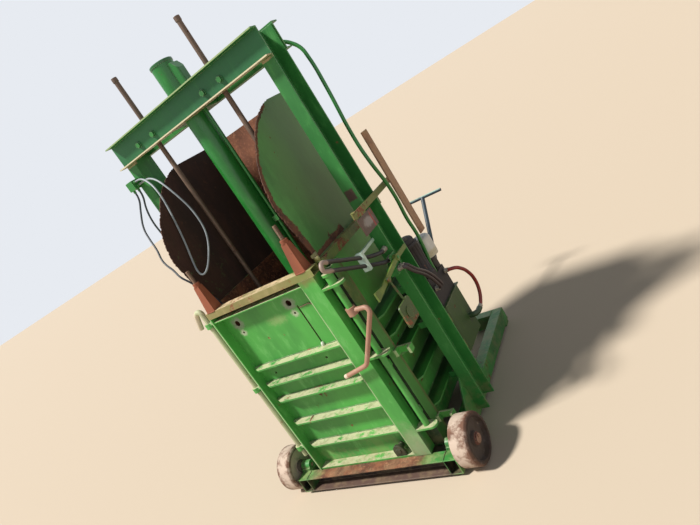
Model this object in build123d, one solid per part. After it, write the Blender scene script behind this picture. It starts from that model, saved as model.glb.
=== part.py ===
from build123d import *
import os
from math import cos, pi, radians, sin, tan

# Hydraulic wool press: a welded base on two wheels, two channel uprights with a crosshead,
# a hydraulic ram with a platen and two guide rods, a pressing box with a hinged front door,
# a three-sided hopper above the box, and a small power pack hung on the right upright.
# Millimetres. X runs along the front, Y to the back, Z up, and the floor is at Z = 0.
# Everything is drawn about the middle of the uprights and moved to the middle of the
# footprint at the end.

# Clearances
running_gap = 0.07
seat_gap = 0.3
door_gap = 0.6

# Base frame
rail_box_gap = 10.0
rail_width = 65.0
rail_height = 85.0
rail_wall = 5.0
rail_bottom_z = 20.0
rail_front_y = -442.5
rail_rear_y = 791.0
front_channel_depth = 64.5
channel_wall = 6.0
rear_member_depth = 66.0
middle_member_y = (-240.0, 250.0)
middle_member_depth = 60.0
middle_member_height = 60.0
foot_length = 60.0
foot_inset = 4.0

# Wheels
wheel_radius = 120.0
wheel_width = 95.0
wheel_rail_gap = 10.0
wheel_y = -345.0
wheel_recess_radius = 97.0
wheel_recess_depth = 26.0
wheel_hub_radius = 30.0
wheel_tread_bevel = 9.0
axle_radius = 11.0
axle_inset = 7.0
bearing_length = 58.0
bearing_depth = 70.0
collar_radius = 22.0
collar_width = 8.0

# Uprights and their gussets
upright_depth = 125.0
upright_flange = 65.0
upright_web = 6.0
upright_flange_wall = 8.0
upright_bottom_z = 50.0
upright_top_z = 2076.0
gusset_reach = 127.5
gusset_height = 150.0
gusset_wall = 8.0
packer_length_y = 60.0
packer_height = 34.0

# Crosshead
crosshead_overhang = 5.0
crosshead_bottom_z = 1960.0
crosshead_height = 125.0
crosshead_flange = 46.0
saddle_wall = 15.0
saddle_half_x = 115.0
guide_bolt_z = 2010.0
guide_block_height = 56.0
guide_block_depth = 42.0
guide_bolt_offsets = ((-97.0, 26.0), (-89.0, 32.0))
guide_block_margin = 24.0
bolt_radius = 8.0
bolt_head_height = 10.0
bolt_head_flats = 24.0
washer_radius = 17.0
washer_wall = 3.0

# Ram, platen and guide rods
ram_x = -20.0
barrel_radius = 57.15
barrel_bore_radius = 50.0
barrel_bottom_z = 1000.0
barrel_top_z = 2226.0
cap_height = 14.0
cap_radius = 60.0
gland_flange_height = 15.0
gland_spigot_height = 40.0
piston_rod_radius = 30.0
piston_height = 50.0
piston_bottom_z = 1450.0
platen_bottom_z = 660.0
platen_wall = 12.0
platen_beam = 50.0
platen_gap = 14.0
platen_hub_radius = 48.0
guide_rod_inset = 87.0
guide_rod_radius = 12.5
guide_rod_y = -45.0
guide_rod_top_z = 2320.0
rod_collar_radius = 20.0
rod_collar_height = 22.0
platen_beam_wall = 12.0
port_cover_reach = 38.0
port_cover_half_y = 27.0
port_cover_top_z = 2208.0
side_pipe_radius = 9.0
side_pipe_bottom_z = 1064.0
side_pipe_bend = 13.0
pipe_clip_z = 1345.0
pipe_clip_height = 26.0

# Pressing box
box_half_x = 345.0
box_front_y = -329.4
box_rear_y = 335.0
sheet_wall = 5.0
floor_wall = 8.0
box_top_z = 1155.0
rib_top_z = (265.0, 420.0, 574.0, 677.0, 780.0)
rib_wall = 10.0
rib_depth = 85.0
stiffener_width = 65.0
stiffener_depth = 79.0
side_rail_width = 35.0
side_rail_height = 40.0
tube_wall = 4.0

# Front door
door_side_lap = 2.0
door_front_y = -389.0
door_bottom_z = 107.0
door_stile_wall = 12.0
door_post_width = 90.0
door_post_wall = 5.0
door_rail_bottom_z = 1120.0
door_rail_overhang = 9.0
door_strip_z = 1098.0
door_strip_wall = 6.0
door_rib_depth = 50.0
door_ledge_wall = 10.0
lifting_hole_x = (-261.0, 99.0)
lifting_hole_z = 1033.0
lifting_hole_radius = 16.0
pin_hole_drop = 56.0
pin_hole_radius = 6.5
low_hole_x = (-243.0, 103.0)
low_hole_z = 714.0
slot_x = 135.0
slot_z = (765.0, 1008.0)
slot_width = 9.0
foot_lug_x = 190.0
foot_lug_z = 150.0
foot_lug_radius = 30.0
foot_lug_wall = 14.0

# Horns on the door's top rail
horn_inset = 47.0
horn_base_x = 57.0
horn_base_y = 58.0
horn_tip_x = 33.0
horn_tip_y = 30.0
horn_height = 140.0
horn_collar_radius = 18.0
horn_collar_height = 17.0
horn_stud_radius = 9.0
horn_stud_height = 69.0

# Door hinge
hinge_offset = 33.0
hinge_y = -375.0
hinge_rod_radius = 13.5
hinge_rod_bottom_z = 215.0
hinge_rod_bend_z = 1182.0
hinge_lug_z = (279.0, 685.0, 1100.0)
hinge_lug_wall = 14.0
hinge_lug_radius = 23.0

# Door latch
latch_offset = 52.0
latch_y = -361.0
latch_rod_radius = 15.0
latch_bottom_z = 238.0
latch_lug_z = (244.0, 664.0, 1040.0)
latch_lug_wall = 12.0
latch_lug_half_y = 28.0
latch_lug_reach = 107.0
latch_head_z = 1094.0
latch_head_radius = 27.0
latch_bush_radius = 21.0
latch_cam_z = (590.0, 318.0)
latch_cam_height = 30.0
latch_cam_reach = 27.0
crank_radius = 11.0
crank_z = 905.0
crank_elbow_offset = 104.0
crank_grip_offsets = (-52.0, -192.0)
crank_grip_y = -418.0
crank_grip_z = (665.0, 636.0)
keeper_z = (588.0, 196.0)
keeper_height = 34.0
keeper_span = 85.0
keeper_ear_wall = 13.0
keeper_ear_length = 26.0
keeper_base_wall = 12.0
keeper_y = -262.0

# Hopper
hopper_top_z = 1838.0
hopper_back_top_z = 1830.0
hopper_flat_y = 30.0
hopper_shoulder = (-242.0, 1676.0)
hopper_nose = (-355.0, 1428.0)
hopper_foot_y = -306.0

# Tow handle on the back of the box
tow_inset = 45.0
tow_pivot_y = 452.0
tow_pivot_z = 270.0
tow_length = 832.0
tow_lean_deg = 48.6
tow_stem_radius = 13.0
tow_bar_radius = 10.0
tow_bar_length = 270.0
tow_pin_radius = 8.0
tow_ear_wall = 8.0
tow_ear_gap = 32.0
tow_stop_distance = 36.0
tow_stop_radius = 6.0
tow_plate_wall = 8.0
tow_plate_half_x = 42.0

# Power pack on the right upright
tank_inset = 44.0
tank_width = 100.0
tank_y = (86.0, 326.0)
tank_z = (290.0, 560.0)
tank_lid_wall = 6.0
tank_lid_lip = 6.0
tank_corner = 14.0
spacer_height = 50.0
spacer_z = (320.0, 480.0)
casing_margin = 9.0
casing_height = 130.0
casing_step_height = 32.0
casing_step_length = 130.0
motor_radius = 46.0
motor_height = 190.0
motor_bell_radius = 38.0
motor_bell_height = 34.0
motor_groove_depth = 3.0
motor_grooves = 14
filter_radius = 31.0
filter_height = 88.0
filter_neck_height = 76.0
filter_overhang = 14.0
elbow_radius = 15.0
elbow_y = 268.0
elbow_z = 390.0
elbow_reach = 46.0
red_hose_radius = 9.5

# Brackets, valve and controls on the right upright
bracket_bar_z = 1210.0
bracket_bar_height = 45.0
bracket_bar_wall = 8.0
bracket_bar_y = (-206.0, 292.0)
bracket_plate_y = (-190.0, -50.0)
bracket_plate_height = 80.0
support_bar_y = (227.0, 288.0)
support_bar_z = (920.0, 1488.0)
valve_block_inset = 7.0
valve_block_width = 52.0
valve_block_depth = 50.0
valve_block_z = (886.0, 932.0)
valve_hose_radius = 8.0
lever_pivot_y = -92.0
lever_pivot_z = 961.0
lever_gap = 11.0
lever_wall = 8.0
lever_pin_radius = 8.0
lever_boss_radius = 17.0
lever_tail_y = 24.0
lever_tip_y = -390.0
lever_tip_z = 932.0
lever_half_height = 11.0
paddle_half_height = 21.0
paddle_length = 70.0
lever_lug_wall = 8.0
link_y = -262.0
link_radius = 5.0
link_eye_width = 13.0
link_pin_radius = 5.0
link_foot = (-240.0, 806.0)
link_plate_y = (-318.0, -204.0)
link_plate_z = (716.0, 824.0)
link_plate_wall = 8.0
link_boss_radius = 26.0

# Pipes and hoses that the press carries
riser_radius = 9.0
riser_fitting_radius = 15.0
riser_fitting_length = 22.0
cross_pipe_inset = 24.0
cross_pipe_y = 30.0
cross_pipe_z = 2022.0
stowed_hose_radius = 9.5
stowed_hose_inset = 8.0
stowed_hose_fold = 19.0
stowed_port_z = (962.0, 1012.0)
stowed_port_offset = 34.0
clamp_y = -202.0
clamp_wall = 18.0
clamp_arm_height = 14.0

# Cables
cable_radius = 5.0
cable_block_size = 50.0
cable_block_offset = 7.0
cable_block_z = (1844.0, 1893.0)
cable_exit_length = 14.0
cable_exit_radius = 7.0

# Sizes worked out from the ones above
wall_outer_x = box_half_x + sheet_wall
rib_outer_x = wall_outer_x + rib_depth
rail_top_z = rail_bottom_z + rail_height
rail_inner_x = wall_outer_x + stiffener_width + rail_box_gap
rail_outer_x = rail_inner_x + rail_width
wheel_inner_x = rail_outer_x + wheel_rail_gap
axle_inner_x = rail_inner_x + axle_inset
half_depth = upright_depth / 2
upright_tip_x = rail_outer_x + upright_flange
crosshead_half_x = upright_tip_x + crosshead_overhang
crosshead_top_z = crosshead_bottom_z + crosshead_height
floor_top_z = rail_top_z + floor_wall
door_half_x = wall_outer_x + door_side_lap
door_rear_y = box_front_y - door_gap
door_rail_top_z = box_top_z
door_post_inner_x = door_half_x - door_post_width
door_stile_inner_x = -door_half_x + door_stile_wall
platen_top_z = platen_bottom_z + platen_wall
guide_rod_offset = box_half_x - guide_rod_inset
guide_rod_x = (ram_x - guide_rod_offset, ram_x + guide_rod_offset)
guide_bolt_x = [[rod_x + offset for offset in pair]
                for rod_x, pair in zip(guide_rod_x, guide_bolt_offsets)]
horn_x = door_half_x - horn_inset
hinge_x = -door_half_x - hinge_offset
latch_x = door_half_x + latch_offset
tow_x = box_half_x - tow_inset
tank_x = (rail_outer_x - tank_inset, rail_outer_x - tank_inset + tank_width)
valve_block_x = (rail_outer_x + valve_block_inset, rail_outer_x + valve_block_inset + valve_block_width)
lever_x = upright_tip_x + lever_gap
cross_pipe_x = rail_outer_x - cross_pipe_inset
stowed_hose_x = rail_outer_x - stowed_hose_inset
stowed_port_x = rail_outer_x + stowed_port_offset
cable_block_x = -upright_tip_x - cable_block_offset

nodes = {}
cords = []


def keep(name, *shapes):
    """Files a finished node under its name; shapes that touch there are welded into one."""
    nodes[name] = sum(shapes, Part())


def block(x, y, z):
    """A rectangular block between the low and high values of each axis."""
    size = [abs(pair[1] - pair[0]) for pair in (x, y, z)]
    centre = [(pair[0] + pair[1]) / 2 for pair in (x, y, z)]
    return Pos(*centre) * Box(*size)


def rod(start, end, radius):
    """A round bar from one point to another."""
    line = Vector(*end) - Vector(*start)
    return extrude(Plane(origin=start, z_dir=line) * Circle(radius), line.length)


def plate_yz(face, low_x, high_x):
    """A flat outline in Y and Z, given its thickness along X."""
    return extrude(Plane.YZ.offset(low_x) * face, high_x - low_x)


def plate_xz(face, low_y, high_y):
    """A flat outline in X and Z, given its thickness along Y."""
    plane = Plane(origin=(0, high_y, 0), x_dir=(1, 0, 0), z_dir=(0, -1, 0))
    return extrude(plane * face, high_y - low_y)


def plate_xy(face, low_z, high_z):
    """A flat outline in X and Y, given its thickness along Z."""
    return extrude(Plane.XY.offset(low_z) * face, high_z - low_z)


def outline(*points):
    """A face bounded by straight edges through the points."""
    return make_face(Polyline(*points, close=True))


def mirrored(shape):
    """The same piece on the other side of the press."""
    return mirror(shape, about=Plane.YZ)


def box_tube(x, y, z, wall, along):
    """A rectangular tube whose bore runs along the named axis."""
    outer = {"x": x, "y": y, "z": z}
    inner = {
        axis: pair if axis == along else (pair[0] + wall, pair[1] - wall)
        for axis, pair in outer.items()
    }
    return block(x, y, z) - block(inner["x"], inner["y"], inner["z"])


def hexagon_bar(centre, direction, flats, height):
    """A hexagonal head with its face at the centre point, standing along the direction."""
    plane = Plane(origin=centre, z_dir=direction)
    return extrude(plane * RegularPolygon(flats / 2, 6, major_radius=False), height)


def largest_radii(points):
    """The arc radius at each inner point that its two runs leave room for."""
    corners = [Vector(*point) for point in points]
    radii = []
    for before, corner, after in zip(corners, corners[1:], corners[2:]):
        shorter = min((corner - before).length, (after - corner).length)
        turn = (corner - before).get_angle(after - corner)
        radii.append(0.45 * shorter / tan(radians(turn) / 2))
    return radii


def tube(name, points, radius, bends=None):
    """A round bar or hose along straight runs joined by tangent arcs."""
    radii = bends or largest_radii(points)
    path = FilletPolyline(*points, radius=radii)
    section = Plane(origin=path @ 0, z_dir=path % 0) * Circle(radius)
    body = sweep(section, path=path)
    share = body.volume / (pi * radius**2 * path.length)
    print(name, "length", round(path.length), "volume share", round(share, 4),
          "radii", [round(value) for value in radii])
    return body


def base_frame():
    """Side rails, cross members, floor plate and rear feet."""
    rail = box_tube(
        (rail_inner_x, rail_outer_x), (rail_front_y, rail_rear_y),
        (rail_bottom_z, rail_top_z), rail_wall, "y",
    )

    span = (-rail_inner_x, rail_inner_x)
    front_rear_y = rail_front_y + front_channel_depth
    front = block(span, (rail_front_y, front_rear_y), (rail_bottom_z, rail_top_z))
    front -= block(
        span, (rail_front_y, front_rear_y - channel_wall),
        (rail_bottom_z + channel_wall, rail_top_z - channel_wall),
    )

    rear = box_tube(
        span, (rail_rear_y - rear_member_depth, rail_rear_y),
        (rail_bottom_z, rail_top_z), rail_wall, "x",
    )

    middle = Part()
    for centre_y in middle_member_y:
        low_y = centre_y - middle_member_depth / 2
        high_y = centre_y + middle_member_depth / 2
        bar = block(span, (low_y, high_y), (rail_top_z - middle_member_height, rail_top_z))
        bar -= block(
            span, (low_y + channel_wall, high_y),
            (rail_top_z - middle_member_height + channel_wall, rail_top_z - channel_wall),
        )
        middle += bar
    keep("base_cross_members", front, middle, rear)

    floor = block(
        (-wall_outer_x, wall_outer_x), (box_front_y, box_rear_y + sheet_wall),
        (rail_top_z, floor_top_z),
    )
    keep("floor_plate", floor)

    foot = block(
        (rail_inner_x + foot_inset, rail_outer_x - foot_inset),
        (rail_rear_y - foot_inset - foot_length, rail_rear_y - foot_inset),
        (0, rail_bottom_z),
    )
    keep("base_rails", rail, foot, mirrored(rail), mirrored(foot))


def wheels():
    """Cast wheels on short axles that lie in blocks on top of the rails."""
    outer_x = wheel_inner_x + wheel_width
    inner_face = wheel_inner_x + wheel_recess_depth
    outer_face = outer_x - wheel_recess_depth
    hub_inner_x = rail_outer_x + collar_width + 2 * seat_gap
    hub_outer_x = outer_x - collar_width - 2 * seat_gap
    rim_slope = 5.0
    profile = Polyline(
        (hub_inner_x, axle_radius + running_gap),
        (hub_outer_x, axle_radius + running_gap),
        (hub_outer_x, wheel_hub_radius),
        (outer_face, wheel_hub_radius + rim_slope),
        (outer_face, wheel_recess_radius - rim_slope),
        (outer_x, wheel_recess_radius),
        (outer_x, wheel_radius - wheel_tread_bevel),
        (outer_x - wheel_tread_bevel, wheel_radius),
        (wheel_inner_x + wheel_tread_bevel, wheel_radius),
        (wheel_inner_x, wheel_radius - wheel_tread_bevel),
        (wheel_inner_x, wheel_recess_radius),
        (inner_face, wheel_recess_radius - rim_slope),
        (inner_face, wheel_hub_radius + rim_slope),
        (hub_inner_x, wheel_hub_radius),
        close=True,
    )
    wheel = Pos(0, wheel_y, wheel_radius) * revolve(make_face(profile), axis=Axis.X)
    keep("wheel_right", wheel)
    keep("wheel_left", mirrored(wheel))

    axle = rod((axle_inner_x, wheel_y, wheel_radius), (outer_x, wheel_y, wheel_radius), axle_radius)
    arch_z = wheel_radius
    arch = block(
        (rail_outer_x - bearing_length, rail_outer_x),
        (wheel_y - bearing_depth / 2, wheel_y + bearing_depth / 2), (rail_top_z, arch_z),
    )
    dome_radius = bearing_depth / 2 - 8
    arch += rod(
        (rail_outer_x - bearing_length, wheel_y, arch_z), (rail_outer_x, wheel_y, arch_z), dome_radius
    ) & block(
        (rail_outer_x - bearing_length, rail_outer_x),
        (wheel_y - dome_radius, wheel_y + dome_radius), (rail_top_z, arch_z + dome_radius),
    )
    arch -= rod(
        (rail_inner_x, wheel_y, arch_z), (rail_outer_x, wheel_y, arch_z), axle_radius + running_gap
    )
    keep("axle_blocks", arch + mirrored(arch))

    collars = Part()
    for low_x in (rail_outer_x + seat_gap, outer_x - collar_width):
        ring = rod(
            (low_x, wheel_y, wheel_radius), (low_x + collar_width, wheel_y, wheel_radius),
            collar_radius,
        )
        ring -= axle_bore(low_x)
        collars += ring
    keep("wheel_axles", axle, collars, mirrored(axle), mirrored(collars))


def axle_bore(low_x):
    """The hole of a collar on the axle."""
    return rod(
        (low_x - 1, wheel_y, wheel_radius), (low_x + collar_width + 1, wheel_y, wheel_radius),
        axle_radius + running_gap,
    )


def uprights():
    """Channel uprights, open to the outside, with gussets and packers to the box."""
    height = (upright_bottom_z, upright_top_z)
    channel = block((rail_outer_x, upright_tip_x), (-half_depth, half_depth), height)
    channel -= block(
        (rail_outer_x + upright_web, upright_tip_x),
        (-half_depth + upright_flange_wall, half_depth - upright_flange_wall), height,
    )
    keep("uprights", channel, mirrored(channel))

    middle_x = rail_outer_x
    gussets = Part()
    for side in (-1, 1):
        face = outline(
            (side * half_depth, rail_top_z), (side * (half_depth + gusset_reach), rail_top_z),
            (side * half_depth, rail_top_z + gusset_height),
        )
        gussets += plate_yz(face, middle_x - gusset_wall / 2, middle_x + gusset_wall / 2)
    packers = Part()
    for top_z in rib_top_z[::2]:
        middle_z = top_z - rib_wall / 2
        packers += block(
            (rib_outer_x, rail_outer_x), (-packer_length_y / 2, packer_length_y / 2),
            (middle_z - packer_height / 2, middle_z + packer_height / 2),
        )
    keep("upright_gussets", gussets, packers, mirrored(gussets), mirrored(packers))


def crosshead():
    """Two channels across the uprights, the ram's saddle plates and the rod guides."""
    span = (-crosshead_half_x, crosshead_half_x)
    height = (crosshead_bottom_z, crosshead_top_z)
    channel = block(span, (-half_depth - crosshead_flange, -half_depth), height)
    channel -= block(
        span, (-half_depth - crosshead_flange, -half_depth - channel_wall),
        (crosshead_bottom_z + channel_wall, crosshead_top_z - channel_wall),
    )
    back = mirror(channel, about=Plane.XZ)
    back -= rod(
        (cross_pipe_x, half_depth - 1, cross_pipe_z),
        (cross_pipe_x, half_depth + channel_wall + 1, cross_pipe_z), riser_radius + running_gap,
    )
    blocks = []
    bolts = Part()
    for pair, rod_x in zip(guide_bolt_x, guide_rod_x):
        body = block(
            (pair[0] - guide_block_margin, pair[1] + guide_block_margin),
            (-half_depth, -half_depth + guide_block_depth),
            (guide_bolt_z - guide_block_height / 2, guide_bolt_z + guide_block_height / 2),
        )
        body -= rod(
            (rod_x, guide_rod_y, crosshead_bottom_z), (rod_x, guide_rod_y, crosshead_top_z),
            guide_rod_radius + running_gap,
        )
        for bolt_x in pair:
            face_y = -half_depth - channel_wall
            tip_y = -half_depth + guide_block_depth - bolt_radius
            hole = rod((bolt_x, face_y - 1, guide_bolt_z), (bolt_x, tip_y + 1, guide_bolt_z),
                       bolt_radius + running_gap)
            body -= hole
            channel -= hole
            bolts += rod((bolt_x, face_y, guide_bolt_z), (bolt_x, tip_y, guide_bolt_z), bolt_radius)
            bolts += rod((bolt_x, face_y - washer_wall, guide_bolt_z), (bolt_x, face_y, guide_bolt_z),
                         washer_radius)
            bolts += hexagon_bar((bolt_x, face_y - washer_wall, guide_bolt_z), (0, -1, 0),
                                 bolt_head_flats, bolt_head_height)
        blocks.append(body)
    keep("crosshead_channels", channel, back)
    keep("guide_blocks", *blocks)
    keep("guide_bolts", bolts)

    saddle = Part()
    for low_z in (crosshead_bottom_z, crosshead_top_z - saddle_wall):
        saddle += block(
            (ram_x - saddle_half_x, ram_x + saddle_half_x), (-half_depth, half_depth),
            (low_z, low_z + saddle_wall),
        )
    saddle -= rod((ram_x, 0, crosshead_bottom_z - 1), (ram_x, 0, crosshead_top_z + 1), barrel_radius)
    saddle -= rod((side_pipe_x(), 0, crosshead_bottom_z - 1), (side_pipe_x(), 0, crosshead_top_z + 1),
                  side_pipe_radius + running_gap)
    keep("ram_saddles", saddle)


def side_pipe_x():
    """Where the pipe runs down beside the barrel."""
    return ram_x + barrel_radius + side_pipe_radius + 6.0


def ram():
    """The fixed barrel with its cap, gland, ports and pipes."""
    barrel = rod((ram_x, 0, barrel_bottom_z), (ram_x, 0, barrel_top_z), barrel_radius)
    barrel -= rod((ram_x, 0, barrel_bottom_z - 1), (ram_x, 0, barrel_top_z + 1), barrel_bore_radius)
    cap = rod((ram_x, 0, barrel_top_z), (ram_x, 0, barrel_top_z + cap_height), cap_radius)
    cap = chamfer(cap.edges().group_by(Axis.Z)[-1], 3)
    cap += rod((ram_x, 0, barrel_top_z - cap_height), (ram_x, 0, barrel_top_z),
               barrel_bore_radius - running_gap)
    gland = rod((ram_x, 0, barrel_bottom_z - gland_flange_height), (ram_x, 0, barrel_bottom_z),
                barrel_radius)
    gland += rod((ram_x, 0, barrel_bottom_z), (ram_x, 0, barrel_bottom_z + gland_spigot_height),
                 barrel_bore_radius - running_gap)
    gland -= rod((ram_x, 0, barrel_bottom_z - gland_flange_height - 1),
                 (ram_x, 0, barrel_bottom_z + gland_spigot_height + 1),
                 piston_rod_radius + running_gap)
    keep("ram_gland", gland)

    face_x = ram_x + barrel_radius
    cover = plate_xz(
        outline(
            (ram_x, crosshead_top_z), (face_x + port_cover_reach, crosshead_top_z),
            (face_x + port_cover_reach, port_cover_top_z - port_cover_reach),
            (face_x + port_cover_reach / 3, port_cover_top_z), (ram_x, port_cover_top_z),
        ),
        -port_cover_half_y, port_cover_half_y,
    )
    cover = fillet(cover.edges().filter_by(Axis.Z).group_by(Axis.X)[-1], 12)
    cover -= rod((ram_x, 0, crosshead_bottom_z), (ram_x, 0, barrel_top_z), barrel_radius)
    keep("port_cover", cover)

    pipe_x = side_pipe_x()
    pipe = tube(
        "side_pipe",
        [(pipe_x, 0, crosshead_top_z), (pipe_x, 0, side_pipe_bottom_z),
         (face_x + seat_gap, 0, side_pipe_bottom_z)],
        side_pipe_radius, [side_pipe_bend],
    )
    clip = block((ram_x, pipe_x + side_pipe_radius + 5), (-14, 14),
                 (pipe_clip_z, pipe_clip_z + pipe_clip_height))
    clip -= rod((ram_x, 0, barrel_bottom_z), (ram_x, 0, barrel_top_z), barrel_radius)
    clip -= rod((pipe_x, 0, barrel_bottom_z), (pipe_x, 0, barrel_top_z), side_pipe_radius + running_gap)
    keep("ram_barrel", barrel, cap, clip)

    cross = tube(
        "cross_pipe",
        [(barrel_side_x(cross_pipe_y), cross_pipe_y, cross_pipe_z),
         (cross_pipe_x, cross_pipe_y, cross_pipe_z),
         (cross_pipe_x, half_depth + channel_wall, cross_pipe_z)],
        riser_radius, [20.0],
    )
    keep("ram_pipes", pipe, cross)


def barrel_side_x(at_y):
    """X of the barrel's right side at a depth, with the seat's clearance for a pipe's end."""
    edge_y = abs(at_y) - riser_radius
    return ram_x + (barrel_radius**2 - edge_y**2) ** 0.5 + seat_gap


def platen():
    """The moving part: piston, piston rod, platen and the two guide rods."""
    piston = rod((ram_x, 0, piston_bottom_z), (ram_x, 0, piston_bottom_z + piston_height),
                 barrel_bore_radius - running_gap)
    stem = rod((ram_x, 0, platen_top_z), (ram_x, 0, piston_bottom_z), piston_rod_radius)
    keep("piston_rod", stem, piston)

    plate = block(
        (-box_half_x + platen_gap, box_half_x - platen_gap),
        (box_front_y + platen_gap, box_rear_y - platen_gap), (platen_bottom_z, platen_top_z),
    )
    beam_top_z = platen_top_z + platen_beam
    beam_z = (platen_top_z, beam_top_z)
    plate = fillet(plate.edges().filter_by(Axis.Z), 14)
    edge_x = box_half_x - 3 * platen_gap
    for centre_y in (guide_rod_y - 55, guide_rod_y + 145):
        beam_y = (centre_y - platen_beam_wall / 2, centre_y + platen_beam_wall / 2)
        plate += block((-edge_x, edge_x), beam_y, beam_z)
    beam_offset = rod_collar_radius + platen_beam_wall
    for centre_x in (guide_rod_x[0] - beam_offset, ram_x - 75, ram_x + 75, guide_rod_x[1] + beam_offset):
        plate += block(
            (centre_x - platen_beam_wall / 2, centre_x + platen_beam_wall / 2),
            (box_front_y + 3 * platen_gap, box_rear_y - 3 * platen_gap), beam_z,
        )
    plate += rod((ram_x, 0, platen_top_z), (ram_x, 0, beam_top_z), platen_hub_radius)
    plate -= rod((ram_x, 0, platen_top_z), (ram_x, 0, beam_top_z + 1), piston_rod_radius + running_gap)
    keep("platen", plate)

    collars = Part()
    rods = Part()
    for rod_x in guide_rod_x:
        rods += rod((rod_x, guide_rod_y, platen_top_z), (rod_x, guide_rod_y, guide_rod_top_z),
                    guide_rod_radius)
    for rod_x in guide_rod_x:
        for low_z in (platen_top_z, guide_rod_top_z - rod_collar_height):
            ring = rod((rod_x, guide_rod_y, low_z), (rod_x, guide_rod_y, low_z + rod_collar_height),
                       collar_size(low_z))
            ring -= rod((rod_x, guide_rod_y, low_z - 1),
                        (rod_x, guide_rod_y, low_z + rod_collar_height + 1),
                        guide_rod_radius + running_gap)
            collars += ring
    keep("guide_rods", rods, collars)


def collar_size(low_z):
    """The collars at the platen are wider than the stop collars at the top."""
    return rod_collar_radius if low_z < barrel_bottom_z else guide_rod_radius + 2.5


def pressing_box():
    """Side and back walls with flat ribs, corner stiffeners and top rails."""
    wall_z = (floor_top_z, box_top_z)
    side = block((box_half_x, wall_outer_x), (box_front_y, box_rear_y + sheet_wall), wall_z)
    seat_x = box_half_x - seat_gap
    back = block((-seat_x, seat_x), (box_rear_y, box_rear_y + sheet_wall), wall_z)
    keep("box_walls", side, back, mirrored(side))

    stiffener_x = (wall_outer_x, wall_outer_x + stiffener_width)
    stiffener_rear_y = box_front_y + stiffener_depth
    rail_bottom = box_top_z - side_rail_height
    stiffener = box_tube(
        stiffener_x, (box_front_y, stiffener_rear_y), (rail_top_z + seat_gap, rail_bottom),
        tube_wall, "z",
    )
    keep("front_stiffeners", stiffener, mirrored(stiffener))

    side_rib_y = (stiffener_rear_y, box_rear_y + sheet_wall + rib_depth)
    nose = 30.0
    ribs = Part()
    for top_z in rib_top_z:
        face = outline(
            (wall_outer_x, side_rib_y[0]), (rib_outer_x - nose, side_rib_y[0]),
            (rib_outer_x, side_rib_y[0] + nose), (rib_outer_x, side_rib_y[1] - nose),
            (rib_outer_x - nose, side_rib_y[1]), (wall_outer_x, side_rib_y[1]),
        )
        ribs += plate_xy(face, top_z - rib_wall, top_z)
    back_ribs = Part()
    for top_z in rib_top_z:
        back_ribs += block(
            (-wall_outer_x + seat_gap, wall_outer_x - seat_gap),
            (box_rear_y + sheet_wall, box_rear_y + sheet_wall + rib_depth), (top_z - rib_wall, top_z),
        )
    keep("box_ribs", ribs, back_ribs, mirrored(ribs))

    rail_z = (rail_bottom, box_top_z)
    rail = box_tube(
        (wall_outer_x, wall_outer_x + side_rail_width),
        (box_front_y, box_rear_y + sheet_wall + side_rail_width), rail_z, tube_wall, "y",
    )
    back_rail = box_tube(
        (-wall_outer_x + seat_gap, wall_outer_x - seat_gap),
        (box_rear_y + sheet_wall, box_rear_y + sheet_wall + side_rail_width), rail_z, tube_wall, "x",
    )
    keep("box_top_rails", rail, back_rail, mirrored(rail))


def hopper():
    """Two rounded side plates and a back plate that stand on the box."""
    rear_y = box_rear_y + sheet_wall
    shoulder_mid = (-106.0, 1791.0)
    nose_mid = (-324.0, 1561.0)
    edge = [
        Line((rear_y, box_top_z), (rear_y, hopper_top_z)),
        Line((rear_y, hopper_top_z), (hopper_flat_y, hopper_top_z)),
        ThreePointArc((hopper_flat_y, hopper_top_z), shoulder_mid, hopper_shoulder),
        ThreePointArc(hopper_shoulder, nose_mid, hopper_nose),
        Line(hopper_nose, (hopper_foot_y, box_top_z)),
        Line((hopper_foot_y, box_top_z), (rear_y, box_top_z)),
    ]
    side = plate_yz(make_face(edge), wall_outer_x, wall_outer_x + sheet_wall)
    keep("hopper_sides", side, mirrored(side))
    keep("hopper_back", block((-wall_outer_x, wall_outer_x), (box_rear_y, rear_y),
                              (box_top_z, hopper_back_top_z)))


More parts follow.
